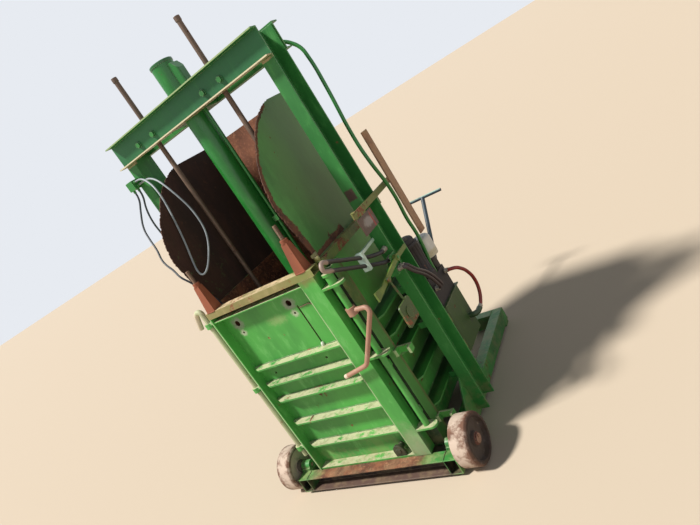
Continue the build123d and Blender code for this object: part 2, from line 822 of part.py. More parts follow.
def door():
    """The front door: sheet, stile, post, top rail, ribs and fittings."""
    inside_x = (door_stile_inner_x, door_post_inner_x)
    sheet_front_y = door_rear_y - sheet_wall
    sheet = block(inside_x, (sheet_front_y, door_rear_y), (door_bottom_z, door_strip_z))
    cutters = Part()
    for hole_x in lifting_hole_x:
        cutters += door_hole(hole_x, lifting_hole_z, lifting_hole_radius)
        cutters += door_hole(hole_x, lifting_hole_z - pin_hole_drop, pin_hole_radius)
    for hole_x in low_hole_x:
        cutters += door_hole(hole_x, low_hole_z, pin_hole_radius)
    cutters += block((slot_x - slot_width / 2, slot_x + slot_width / 2),
                     (sheet_front_y - 1, door_rear_y + 1), slot_z)
    keep("door_sheet", sheet - cutters)

    keep("door_hinge_stile", block(
        (-door_half_x, door_stile_inner_x), (door_front_y, door_rear_y),
        (door_bottom_z, door_rail_bottom_z)))
    keep("door_post", box_tube(
        (door_post_inner_x, door_half_x), (door_front_y, door_rear_y),
        (door_bottom_z, door_rail_bottom_z), door_post_wall, "z"))
    keep("door_top_rail", box_tube(
        (-door_half_x, door_half_x + door_rail_overhang), (door_front_y, door_rear_y),
        (door_rail_bottom_z, door_rail_top_z), tube_wall, "x"))

    rib_y = (sheet_front_y - door_rib_depth, sheet_front_y)
    ribs = block(inside_x, rib_y, (door_strip_z - door_strip_wall, door_strip_z))
    ribs += block(inside_x, rib_y, (door_bottom_z, door_bottom_z + door_ledge_wall))
    for top_z in rib_top_z:
        face = outline(
            (inside_x[0], rib_y[1]), (inside_x[1], rib_y[1]), (inside_x[1], rib_y[0]),
            (inside_x[0] + door_rib_depth, rib_y[0]), (inside_x[0], rib_y[1] - door_rib_depth / 3),
        )
        ribs += plate_xy(face, top_z - rib_wall, top_z)
    keep("door_ribs", ribs)

    lug_low_z = door_bottom_z + door_ledge_wall
    lug = plate_xz(
        outline((foot_lug_x - foot_lug_radius, lug_low_z), (foot_lug_x + foot_lug_radius, lug_low_z),
                (foot_lug_x + foot_lug_radius, foot_lug_z), (foot_lug_x - foot_lug_radius, foot_lug_z))
        + Pos(foot_lug_x, foot_lug_z) * Circle(foot_lug_radius),
        rib_y[0], rib_y[0] + foot_lug_wall,
    )
    lug += rod((foot_lug_x, rib_y[0] + foot_lug_wall, foot_lug_z), (foot_lug_x, sheet_front_y, foot_lug_z),
               bolt_radius * 2)
    lug += hexagon_bar((foot_lug_x, rib_y[0], foot_lug_z), (0, -1, 0), bolt_head_flats,
                       bolt_head_height / 2)
    keep("door_foot_lug", lug)

    horn_y = (door_front_y + door_rear_y) / 2
    horns = Part()
    studs = Part()
    for centre_x in (-horn_x, horn_x):
        base = Pos(centre_x, horn_y, door_rail_top_z) * Rectangle(horn_base_x, horn_base_y)
        tip = Pos(centre_x, horn_y, door_rail_top_z + horn_height) * Rectangle(horn_tip_x, horn_tip_y)
        collar_z = door_rail_top_z + horn_height
        stud_z = collar_z + horn_collar_height
        horn = loft([base, tip])
        horns += horn + rod((centre_x, horn_y, collar_z), (centre_x, horn_y, stud_z), horn_collar_radius)
        studs += rod((centre_x, horn_y, stud_z), (centre_x, horn_y, stud_z + horn_stud_height),
                     horn_stud_radius)
    keep("door_horns", horns, studs)


def door_hole(hole_x, hole_z, radius):
    """A round hole through the door's sheet."""
    return rod((hole_x, door_rear_y - sheet_wall - 1, hole_z), (hole_x, door_rear_y + 1, hole_z), radius)


def door_hinge():
    """The long hinge rod and the door's lugs around it; returns the brackets on the box."""
    rod_points = [
        (hinge_x, hinge_y, hinge_rod_bottom_z), (hinge_x, hinge_y, hinge_rod_bend_z),
        (hinge_x - 40, hinge_y, hinge_rod_bend_z - 10), (hinge_x - 72, hinge_y, hinge_rod_bend_z - 92),
    ]
    keep("hinge_rod", tube("hinge_rod", rod_points, hinge_rod_radius, [18.0, 30.0]))

    bore = rod((hinge_x, hinge_y, hinge_rod_bottom_z), (hinge_x, hinge_y, door_rail_top_z),
               hinge_rod_radius + running_gap)
    door_lugs = Part()
    brackets = Part()
    eye = Pos(hinge_x, hinge_y) * Circle(hinge_lug_radius)
    for middle_z in hinge_lug_z:
        arm = outline(
            (hinge_x, hinge_y - hinge_lug_radius * 0.6), (-door_half_x, hinge_y - hinge_lug_radius * 0.6),
            (-door_half_x, hinge_y + hinge_lug_radius), (hinge_x, hinge_y + hinge_lug_radius),
        )
        door_lugs += plate_xy(eye + arm, middle_z - hinge_lug_wall / 2, middle_z + hinge_lug_wall / 2)
        stem = outline(
            (hinge_x - hinge_lug_radius, hinge_y), (hinge_x + hinge_lug_radius, hinge_y),
            (hinge_x + hinge_lug_radius, box_front_y), (hinge_x - hinge_lug_radius, box_front_y),
        )
        bracket_top_z = middle_z - hinge_lug_wall / 2 - seat_gap
        brackets += plate_xy(eye + stem, bracket_top_z - hinge_lug_wall, bracket_top_z)
    keep("door_hinge_lugs", door_lugs - bore)
    return brackets - bore


def latch():
    """The latch bar on the door's post, with its lugs, bush and crank; returns its keepers."""
    lug_low_y = latch_y - latch_lug_half_y
    lug_high_y = latch_y + latch_lug_half_y
    round_x = door_half_x + latch_lug_reach - latch_lug_half_y
    lug_face = outline((door_half_x, lug_low_y), (round_x, lug_low_y), (round_x, lug_high_y),
                       (door_half_x, lug_high_y))
    lug_face += Pos(round_x, latch_y) * Circle(latch_lug_half_y)
    bore = rod((latch_x, latch_y, latch_bottom_z - 1), (latch_x, latch_y, latch_head_z),
               latch_rod_radius + running_gap)
    lugs = Part()
    for low_z in latch_lug_z:
        lugs += plate_xy(lug_face, low_z, low_z + latch_lug_wall)
    keep("latch_lugs", lugs - bore)

    bar = rod((latch_x, latch_y, latch_bottom_z), (latch_x, latch_y, latch_head_z), latch_rod_radius)
    bar += rod((latch_x, latch_y, latch_head_z), (latch_x, latch_y, latch_head_z + latch_lug_wall),
               latch_head_radius)
    for low_z in latch_cam_z:
        cam = outline((latch_x - latch_rod_radius, latch_y),
                      (latch_x - 6, latch_y + latch_cam_reach),
                      (latch_x + 6, latch_y + latch_cam_reach),
                      (latch_x + latch_rod_radius, latch_y))
        bar += plate_xy(cam, low_z, low_z + latch_cam_height)
    bush_low_z = latch_lug_z[-1] + latch_lug_wall + seat_gap
    bush = rod((latch_x, latch_y, bush_low_z), (latch_x, latch_y, latch_head_z), latch_bush_radius)
    keep("latch_bar", bar, bush)

    stub_x = latch_x + latch_rod_radius + 4
    elbow = (latch_x + crank_elbow_offset, latch_y - 11, crank_z - 2)
    grip = [(latch_x + offset, crank_grip_y, grip_z)
            for offset, grip_z in zip(crank_grip_offsets, crank_grip_z)]
    crank = tube("crank_handle", [(stub_x, latch_y - 1.5, crank_z), elbow, *grip],
                 crank_radius, [21.0, 40.0])
    socket = rod((latch_x, latch_y, crank_z - 19), (latch_x, latch_y, crank_z + 19),
                 latch_rod_radius + 8)
    socket -= rod((latch_x, latch_y, crank_z - 20), (latch_x, latch_y, crank_z + 20), latch_rod_radius)
    keep("crank_handle", crank + socket)

    stiffener_outer_x = wall_outer_x + stiffener_width
    keepers = Part()
    for low_z in keeper_z:
        keepers += keeper(stiffener_outer_x, low_z)
    return keepers


def keeper(low_x, low_z):
    """A keeper with two ears on the side of the box's corner stiffener."""
    height = (low_z, low_z + keeper_height)
    body = block((low_x, low_x + keeper_span), (keeper_y, keeper_y + keeper_base_wall), height)
    for ear_x in (low_x, low_x + keeper_span - keeper_ear_wall):
        body += block((ear_x, ear_x + keeper_ear_wall), (keeper_y - keeper_ear_length, keeper_y), height)
    return body


def tow_handle():
    """The T-shaped handle that leans back from a bracket behind the box."""
    lean = radians(tow_lean_deg)
    tip_y = tow_pivot_y + tow_length * cos(lean)
    tip_z = tow_pivot_z + tow_length * sin(lean)
    hub_half = tow_ear_gap / 2 - seat_gap
    stem = rod((tow_x, tow_pivot_y, tow_pivot_z), (tow_x, tip_y, tip_z), tow_stem_radius)
    stem += rod((tow_x - hub_half, tow_pivot_y, tow_pivot_z), (tow_x + hub_half, tow_pivot_y, tow_pivot_z),
                tow_stem_radius + 3)
    half = tow_bar_length / 2
    stem += rod((tow_x - half, tip_y, tip_z), (tow_x + half, tip_y, tip_z), tow_bar_radius)
    stem -= rod((tow_x - half, tow_pivot_y, tow_pivot_z), (tow_x + half, tow_pivot_y, tow_pivot_z),
                tow_pin_radius + running_gap)
    keep("tow_handle", stem)

    pin_half = tow_ear_gap / 2 + tow_ear_wall
    pin = rod((tow_x - pin_half, tow_pivot_y, tow_pivot_z), (tow_x + pin_half, tow_pivot_y, tow_pivot_z),
              tow_pin_radius)

    plate_y = box_rear_y + sheet_wall + rib_depth
    back_y = plate_y + tow_plate_wall
    bracket = block((tow_x - tow_plate_half_x, tow_x + tow_plate_half_x), (plate_y, back_y),
                    (rib_top_z[0] - 4 * rib_wall, rib_top_z[1]))
    offset = tow_stem_radius + tow_stop_radius + seat_gap
    stop_y = tow_pivot_y + tow_stop_distance * cos(lean) + offset * sin(lean)
    stop_z = tow_pivot_z + tow_stop_distance * sin(lean) - offset * cos(lean)
    margin = tow_stop_radius + 4
    ear = outline((back_y, tow_pivot_z - 22), (stop_y + margin, stop_z - margin),
                  (stop_y + margin, stop_z + margin), (back_y, tow_pivot_z + 26))
    for ear_x in (tow_x - pin_half, tow_x + tow_ear_gap / 2):
        bracket += plate_yz(ear, ear_x, ear_x + tow_ear_wall)
    bracket += rod((tow_x - pin_half, stop_y, stop_z), (tow_x + pin_half, stop_y, stop_z), tow_stop_radius)
    bracket -= rod((tow_x - 2 * pin_half, tow_pivot_y, tow_pivot_z),
                   (tow_x + 2 * pin_half, tow_pivot_y, tow_pivot_z), tow_pin_radius + running_gap)
    keep("tow_bracket", bracket, pin)


def power_pack():
    """Oil tank, pump casing, motor, filter and return hose; returns the tank's spacers."""
    tank = block(tank_x, tank_y, tank_z)
    tank = fillet(tank.edges().filter_by(Axis.Z), tank_corner)
    lid = block((tank_x[0] - tank_lid_lip, tank_x[1] + tank_lid_lip), (tank_y[0], tank_y[1] + tank_lid_lip),
                (tank_z[1], tank_z[1] + tank_lid_wall))
    spacers = Part()
    for low_z in spacer_z:
        spacers += block((rail_outer_x + upright_web, upright_tip_x - 10), (half_depth, tank_y[0]),
                         (low_z, low_z + spacer_height))
    casing_x = (tank_x[0] + casing_margin, tank_x[1] - casing_margin)
    casing_low_z = tank_z[1] + tank_lid_wall
    casing_top_z = casing_low_z + casing_height
    casing = block(casing_x, (tank_y[0] + casing_margin, tank_y[1] - casing_margin),
                   (casing_low_z, casing_top_z))
    step_y = (tank_y[0] + casing_margin, tank_y[0] + casing_margin + casing_step_length)
    step_top_z = casing_top_z + casing_step_height
    casing += block(casing_x, step_y, (casing_top_z, step_top_z))
    casing = fillet(casing.edges().filter_by(Axis.Z), 5)
    keep("pump_casing", casing)

    motor_x = (casing_x[0] + casing_x[1]) / 2 + 2
    motor_y = (step_y[0] + step_y[1]) / 2
    motor_top_z = step_top_z + motor_height
    motor = rod((motor_x, motor_y, step_top_z), (motor_x, motor_y, motor_top_z), motor_radius)
    for index in range(motor_grooves):
        angle = 2 * pi * index / motor_grooves
        groove_x = motor_x + motor_radius * cos(angle)
        groove_y = motor_y + motor_radius * sin(angle)
        motor -= rod((groove_x, groove_y, step_top_z + 16), (groove_x, groove_y, motor_top_z - 16),
                     motor_groove_depth)
    bell = rod((motor_x, motor_y, motor_top_z), (motor_x, motor_y, motor_top_z + motor_bell_height),
               motor_bell_radius)
    bell = fillet(bell.edges().group_by(Axis.Z)[-1], 12)
    keep("pump_motor", motor + bell)

    filter_x = casing_x[1] - filter_radius + 2
    filter_y = tank_y[1] - casing_margin - filter_radius + filter_overhang
    neck_top_z = casing_top_z + filter_neck_height
    cup = rod((filter_x, filter_y, neck_top_z), (filter_x, filter_y, neck_top_z + filter_height),
              filter_radius)
    cup = fillet(cup.edges().group_by(Axis.Z)[-1], filter_radius * 0.7)
    cup += rod((filter_x, filter_y, casing_top_z), (filter_x, filter_y, neck_top_z), filter_radius * 0.6)
    keep("oil_filter", cup)

    elbow_end_x = tank_x[1] + elbow_reach
    elbow_rear_y = elbow_y + elbow_reach
    elbow = tube("tank_elbow",
                 [(tank_x[1], elbow_y, elbow_z), (elbow_end_x, elbow_y, elbow_z),
                  (elbow_end_x, elbow_rear_y, elbow_z)], elbow_radius, [24.0])
    keep("oil_tank", tank, lid, elbow)
    side_x = tank_x[1]
    hose = tube(
        "red_hose",
        [(casing_x[1] + seat_gap, 292.0, 664.0), (side_x + 20, 292.0, 664.0),
         (side_x + 56, 304.0, 656.0), (side_x + 72, 340.0, 616.0), (side_x + 74, 380.0, 552.0),
         (side_x + 66, 398.0, 486.0), (side_x + 56, 388.0, 430.0), (elbow_end_x, 352.0, elbow_z),
         (elbow_end_x, elbow_rear_y + seat_gap, elbow_z)],
        red_hose_radius,
    )
    keep("red_hose", hose)
    return spacers


def upright_fittings(spacers):
    """The bars and plates, valve block and its hoses on the right upright."""
    bar_x = (upright_tip_x, upright_tip_x + bracket_bar_wall)
    level_bar = block(bar_x, bracket_bar_y, (bracket_bar_z, bracket_bar_z + bracket_bar_height))
    plate_z = (bracket_bar_z - bracket_plate_height, bracket_bar_z)
    keep("bracket_plate", block(bar_x, bracket_plate_y, plate_z))
    upright_bar = block((bar_x[1], bar_x[1] + bracket_bar_wall), support_bar_y, support_bar_z)
    keep("pack_brackets", spacers, level_bar, upright_bar)

    valve = block(valve_block_x, (-half_depth - valve_block_depth, -half_depth), valve_block_z)
    valve = chamfer(valve.edges().filter_by(Axis.Y), 4)
    keep("valve_block", valve)

    side_x = valve_block_x[1]
    face_x = side_x + seat_gap
    casing_side_x = tank_x[1] - casing_margin + seat_gap
    hoses = Part()
    for shift_y, start_y in ((0.0, -98.0), (26.0, -76.0)):
        hoses += tube(
            "valve_hose",
            [(face_x, start_y, 910.0), (side_x + 35, start_y, 910.0),
             (side_x + 43, start_y + 36, 856.0), (side_x + 39, 10 + shift_y, 800.0),
             (side_x + 33, 66 + shift_y, 738.0), (side_x + 25, 112 + shift_y, 664.0),
             (casing_side_x, 112 + shift_y, 664.0)],
            valve_hose_radius,
        )
    keep("valve_hoses", hoses)

    tip_x = upright_tip_x
    fitting_y = half_depth + channel_wall
    fitting = rod((cross_pipe_x, fitting_y, cross_pipe_z),
                  (cross_pipe_x, fitting_y + riser_fitting_length, cross_pipe_z), riser_fitting_radius)
    riser = tube(
        "riser_pipe",
        [(cross_pipe_x, fitting_y + riser_fitting_length, cross_pipe_z),
         (cross_pipe_x, 136.0, cross_pipe_z), (tip_x - 55, 184.0, 2006.0), (tip_x - 9, 200.0, 1950.0),
         (tip_x + 5, 190.0, 1850.0), (tip_x + 7, 176.0, 1700.0), (tip_x + 5, 160.0, 1560.0),
         (tip_x + 11, 146.0, 1440.0), (tip_x + 25, 140.0, 1330.0), (tip_x + 27, 164.0, 1236.0),
         (tip_x + 19, 184.0, 1130.0), (tip_x + 3, 196.0, 1030.0), (tip_x - 3, 220.0, 940.0),
         (tip_x - 17, 234.0, 850.0), (tip_x - 31, 236.0, 770.0), (tip_x - 33, 236.0, 696.0 + seat_gap)],
        riser_radius,
    )
    keep("riser_pipe", fitting, riser)


def controls():
    """The hand lever on its lug, with the link and the plate that hangs from it."""
    lug_x = (upright_tip_x - lever_lug_wall, upright_tip_x)
    lug = block(lug_x, (lever_pivot_y - 22, -half_depth), (lever_pivot_z - 26, lever_pivot_z + 24))
    pin_end_x = lever_x + lever_wall + 6
    lug += rod((lug_x[0], lever_pivot_y, lever_pivot_z), (pin_end_x, lever_pivot_y, lever_pivot_z),
               lever_pin_radius)
    keep("lever_lug", lug)

    paddle_y = lever_tip_y + paddle_length
    face = outline(
        (lever_tail_y, lever_pivot_z - lever_half_height),
        (lever_tail_y, lever_pivot_z + lever_half_height),
        (lever_pivot_y, lever_pivot_z + lever_half_height),
        (paddle_y, lever_tip_z + lever_half_height), (lever_tip_y, lever_tip_z + paddle_half_height),
        (lever_tip_y, lever_tip_z - paddle_half_height), (paddle_y, lever_tip_z - lever_half_height),
        (lever_pivot_y, lever_pivot_z - lever_half_height),
    )
    lever = plate_yz(face, lever_x, lever_x + lever_wall)
    lever += rod((upright_tip_x + seat_gap, lever_pivot_y, lever_pivot_z),
                 (lever_x + lever_wall + 3, lever_pivot_y, lever_pivot_z), lever_boss_radius)
    lever -= rod((lug_x[0], lever_pivot_y, lever_pivot_z), (pin_end_x, lever_pivot_y, lever_pivot_z),
                 lever_pin_radius + running_gap)
    link_z = lever_z_at(link_y)
    link_x = lever_x + lever_wall + seat_gap
    lever += rod((lever_x + lever_wall, link_y, link_z), (link_x + link_eye_width + 2, link_y, link_z),
                 link_pin_radius)
    keep("control_lever", lever)

    eye_x = (link_x, link_x + link_eye_width)
    middle_x = (eye_x[0] + eye_x[1]) / 2
    link = rod((middle_x, link_y, link_z), (middle_x, link_foot[0], link_foot[1]), link_radius)
    link += rod((eye_x[0], link_y, link_z), (eye_x[1], link_y, link_z), link_pin_radius + 5)
    link -= rod((eye_x[0] - 1, link_y, link_z), (eye_x[1] + 1, link_y, link_z),
                link_pin_radius + running_gap)
    middle_y = (link_plate_y[0] + link_plate_y[1]) / 2
    middle_z = (link_plate_z[0] + link_plate_z[1]) / 2
    plate = block((middle_x - link_plate_wall / 2, middle_x + link_plate_wall / 2), link_plate_y,
                  link_plate_z)
    plate = fillet(plate.edges().filter_by(Axis.X), 14)
    plate += rod((middle_x, middle_y, middle_z), (middle_x + link_plate_wall, middle_y, middle_z),
                 link_boss_radius)
    keep("control_link", link, plate)


def lever_z_at(at_y):
    """Height of the lever's middle line at a place along it."""
    paddle_y = lever_tip_y + paddle_length
    share = (lever_pivot_y - at_y) / (lever_pivot_y - paddle_y)
    return lever_pivot_z + share * (lever_tip_z - lever_pivot_z)


def stowed_hose():
    """The doubled hose that is folded away in its clamp at the front corner."""
    low_z, high_z = stowed_port_z
    fold = stowed_hose_fold
    slope_y, slope_z = -0.8983, 0.4393
    front = (-470.0, 1166.0)
    upper = (front[0] + slope_z * fold, front[1] - slope_y * fold)
    lower = (front[0] - slope_z * fold, front[1] + slope_y * fold)
    face_y = -half_depth - seat_gap
    at_x = stowed_hose_x
    upper_run = [(stowed_port_x, face_y, high_z), (stowed_port_x, -104.0, high_z),
                 (at_x, clamp_y + 60, clamp_hole_z(upper, 60))]
    lower_run = [(at_x, clamp_y + 60, clamp_hole_z(lower, 60)),
                 (stowed_port_x, -104.0, low_z), (stowed_port_x, face_y, low_z)]
    points = upper_run + [(at_x, *upper), (at_x, *lower)] + lower_run
    radii = largest_radii(points)
    fold_index = len(upper_run) - 1
    for index in (fold_index, fold_index + 1):
        radii[index] = fold - 0.1
    keep("stowed_hose", tube("stowed_hose", points, stowed_hose_radius, radii))

    holes = Part()
    for run in (upper, lower):
        holes += rod((at_x, clamp_y - 20, clamp_hole_z(run, -20)),
                     (at_x, clamp_y + 20, clamp_hole_z(run, 20)), stowed_hose_radius + running_gap)
    clamp = block((at_x - 18, at_x + 18), (clamp_y - clamp_wall / 2, clamp_y + clamp_wall / 2),
                  (clamp_hole_z(lower, 0) - 24, clamp_hole_z(upper, 0) + 24))
    clamp -= holes
    arm_top_z = clamp_hole_z(upper, 0) + 24
    clamp += block((at_x + 6, at_x + 18), (clamp_y, -half_depth), (arm_top_z - clamp_arm_height, arm_top_z))
    keep("hose_clamp", clamp)


def clamp_hole_z(front, beyond):
    """Height of a straight hose run a little beyond the clamp, from the run's front end."""
    return front[1] - (clamp_y + beyond - front[0]) * 0.489


def cable_block():
    """The connection block on the left upright and the cables that hang from it."""
    half = cable_block_size / 2
    front_y = -half_depth - cable_block_size
    body = block((cable_block_x - half, cable_block_x + half), (front_y, -half_depth), cable_block_z)
    body = chamfer(body.edges().filter_by(Axis.Y), 3)
    low_z = cable_block_z[0]
    start_z = low_z - cable_exit_length
    side_x = cable_block_x + half
    start_x = side_x + cable_exit_length
    exits = Part()
    for offset_x, exit_y in ((-12.0, -100.0), (4.0, -82.0)):
        exit_x = cable_block_x + offset_x
        exits += rod((exit_x, exit_y, start_z), (exit_x, exit_y, low_z), cable_exit_radius)
    for exit_y, exit_z in ((-98.0, 1878.0), (-86.0, 1858.0)):
        exits += rod((side_x, exit_y, exit_z), (start_x, exit_y, exit_z), cable_exit_radius)
    keep("cable_block", body, exits)

    wall_x = -box_half_x + seat_gap
    flange_y = -half_depth - seat_gap
    routes = {
        "cable_white": [
            (start_x, -98.0, 1878.0), (-490.0, -98.0, 1878.0), (-448.0, -110.0, 1860.0),
            (-404.0, -136.0, 1832.0), (-362.0, -162.0, 1798.0), (-332.0, -186.0, 1726.0),
            (-326.0, -212.0, 1620.0), (-327.0, -240.0, 1500.0), (-325.0, -272.0, 1410.0),
            (-316.0, -298.0, 1346.0), (-296.0, -300.0, 1318.0), (-274.0, -276.0, 1330.0),
            (-256.0, -236.0, 1376.0), (-240.0, -194.0, 1438.0), (-232.0, -168.0, 1505.0),
            (-246.0, -152.0, 1610.0), (-280.0, -146.0, 1700.0), (-318.0, -138.0, 1772.0),
            (-360.0, -122.0, 1820.0), (-414.0, -106.0, 1850.0), (-474.0, -86.0, 1858.0),
            (start_x, -86.0, 1858.0),
        ],
        "cable_black": [
            (-574.0, -100.0, start_z), (-574.0, -100.0, 1798.0), (-598.0, -124.0, 1742.0),
            (-611.0, -168.0, 1662.0), (-575.0, -206.0, 1590.0), (-534.0, -240.0, 1530.0),
            (-520.0, -268.0, 1478.0), (-470.0, -300.0, 1440.0), (-412.0, -332.0, 1415.0),
            (-366.0, -364.0, 1372.0), (-334.0, -350.0, 1316.0), (-322.0, -326.0, 1248.0),
            (-308.0, -308.0, 1186.0), (-302.0, -300.0, 1136.0), (-318.0, -298.0, 1102.0),
            (wall_x, -298.0, 1102.0),
        ],
        "cable_grey": [
            (-558.0, -82.0, start_z), (-558.0, -82.0, 1800.0), (-586.0, -94.0, 1742.0),
            (-600.0, -101.0, 1662.0), (-598.0, -98.0, 1580.0), (-582.0, -102.0, 1505.0),
            (-556.0, -98.0, 1446.0), (-524.0, -92.0, 1402.0), (-524.0, flange_y, 1402.0),
        ],
    }
    for name, points in routes.items():
        keep(name, tube(name, points, cable_radius))
        cords.append(name)


base_frame()
wheels()
uprights()
crosshead()
ram()
platen()
pressing_box()
hopper()
door()
keep("box_brackets", door_hinge(), latch())
tow_handle()
upright_fittings(power_pack())
controls()
stowed_hose()
cable_block()

# The origin goes to the middle of the footprint, on the floor, without the free cables.
fixed = [shape for name, shape in nodes.items() if name not in cords]
corners = [shape.bounding_box() for shape in fixed]
origin_x = (min(box.min.X for box in corners) + max(box.max.X for box in corners)) / 2
origin_y = (min(box.min.Y for box in corners) + max(box.max.Y for box in corners)) / 2
print("origin at", round(origin_x, 3), round(origin_y, 3))

os.makedirs("parts", exist_ok=True)
for name, shape in nodes.items():
    export_step(Pos(-origin_x, -origin_y, 0) * shape, f"parts/{name}.step")
print(len(nodes), "nodes")
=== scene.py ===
"""Looks of the hydraulic wool press: finishes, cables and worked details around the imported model.

Lengths are metres. Places are written about the middle of the uprights, on the floor, with X to the
right along the front and Y to the back, and Plan.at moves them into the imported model's own frame.
"""

import logging
import math
from collections.abc import Sequence
from dataclasses import dataclass, field
from enum import Enum

import bmesh
import bpy
import numpy as np
from mathutils import Matrix, Vector

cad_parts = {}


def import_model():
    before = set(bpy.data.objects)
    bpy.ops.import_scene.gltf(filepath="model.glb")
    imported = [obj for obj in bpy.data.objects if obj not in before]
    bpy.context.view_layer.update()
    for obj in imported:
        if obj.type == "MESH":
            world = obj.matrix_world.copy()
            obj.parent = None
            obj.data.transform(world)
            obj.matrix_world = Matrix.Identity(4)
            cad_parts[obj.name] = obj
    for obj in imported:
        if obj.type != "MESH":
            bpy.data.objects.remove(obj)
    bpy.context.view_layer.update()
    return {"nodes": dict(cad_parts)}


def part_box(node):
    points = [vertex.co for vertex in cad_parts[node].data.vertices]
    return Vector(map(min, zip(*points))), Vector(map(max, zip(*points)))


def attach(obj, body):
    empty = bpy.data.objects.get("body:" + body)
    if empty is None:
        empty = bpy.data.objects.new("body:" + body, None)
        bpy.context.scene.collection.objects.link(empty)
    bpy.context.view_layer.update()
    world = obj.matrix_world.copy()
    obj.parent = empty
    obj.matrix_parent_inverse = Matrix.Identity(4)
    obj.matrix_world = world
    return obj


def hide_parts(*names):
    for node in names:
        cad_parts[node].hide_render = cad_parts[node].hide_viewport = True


LOG = logging.getLogger("wool_press")

Colour = tuple[float, float, float]
Point = tuple[float, float, float]
Socket = bpy.types.NodeSocket
Given = float | Point | Vector | Socket

UP: Point = (0.0, 0.0, 1.0)
SAME_FACE = math.radians(0.6)
SHARP_CORNER = math.radians(42)
SPLIT_CORNER = math.radians(50)
RIB_TOPS = (0.265, 0.420, 0.574, 0.677, 0.780)


def paint(red: int, green: int, blue: int) -> Colour:
    """A colour as it is seen, 0 to 255, turned into the renderer's linear light.

    Args:
        red: red part.
        green: green part.
        blue: blue part.

    Returns:
        Each part divided by 12.92 in the darkest tones, and a power of 2.4 above them.
    """
    seen = np.array([red, green, blue]) / 255
    linear = np.where(seen <= 0.04045, seen / 12.92, ((seen + 0.055) / 1.055) ** 2.4)
    return tuple(float(part) for part in linear)


def unit(vectors: np.ndarray) -> np.ndarray:
    """The same vectors at length one, each divided by its own length."""
    return vectors / np.linalg.norm(vectors, axis=-1, keepdims=True)


def stand(name: str, data: bpy.types.ID) -> bpy.types.Object:
    """Puts a new object that holds the data into the scene.

    Args:
        name: the object's name.
        data: its mesh, curve, lamp or camera.

    Returns:
        The new object.
    """
    made = bpy.data.objects.new(name, data)
    bpy.context.scene.collection.objects.link(made)
    return made


@dataclass(frozen=True)
class Plan:
    """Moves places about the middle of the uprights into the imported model's frame."""

    shift: Point

    @classmethod
    def from_frame(cls) -> "Plan":
        """Reads the shift from the uprights, whose middle is the plan's own zero."""
        low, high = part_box("uprights")
        return cls(((low.x + high.x) / 2, (low.y + high.y) / 2, 0.0))

    def at(self, x: float, y: float, z: float) -> Point:
        """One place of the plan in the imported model's frame."""
        return (x + self.shift[0], y + self.shift[1], z + self.shift[2])

    def many(self, points: np.ndarray) -> np.ndarray:
        """Rows of places moved together: each one plus the shift."""
        return points + np.array(self.shift)


# Camera, light and floor


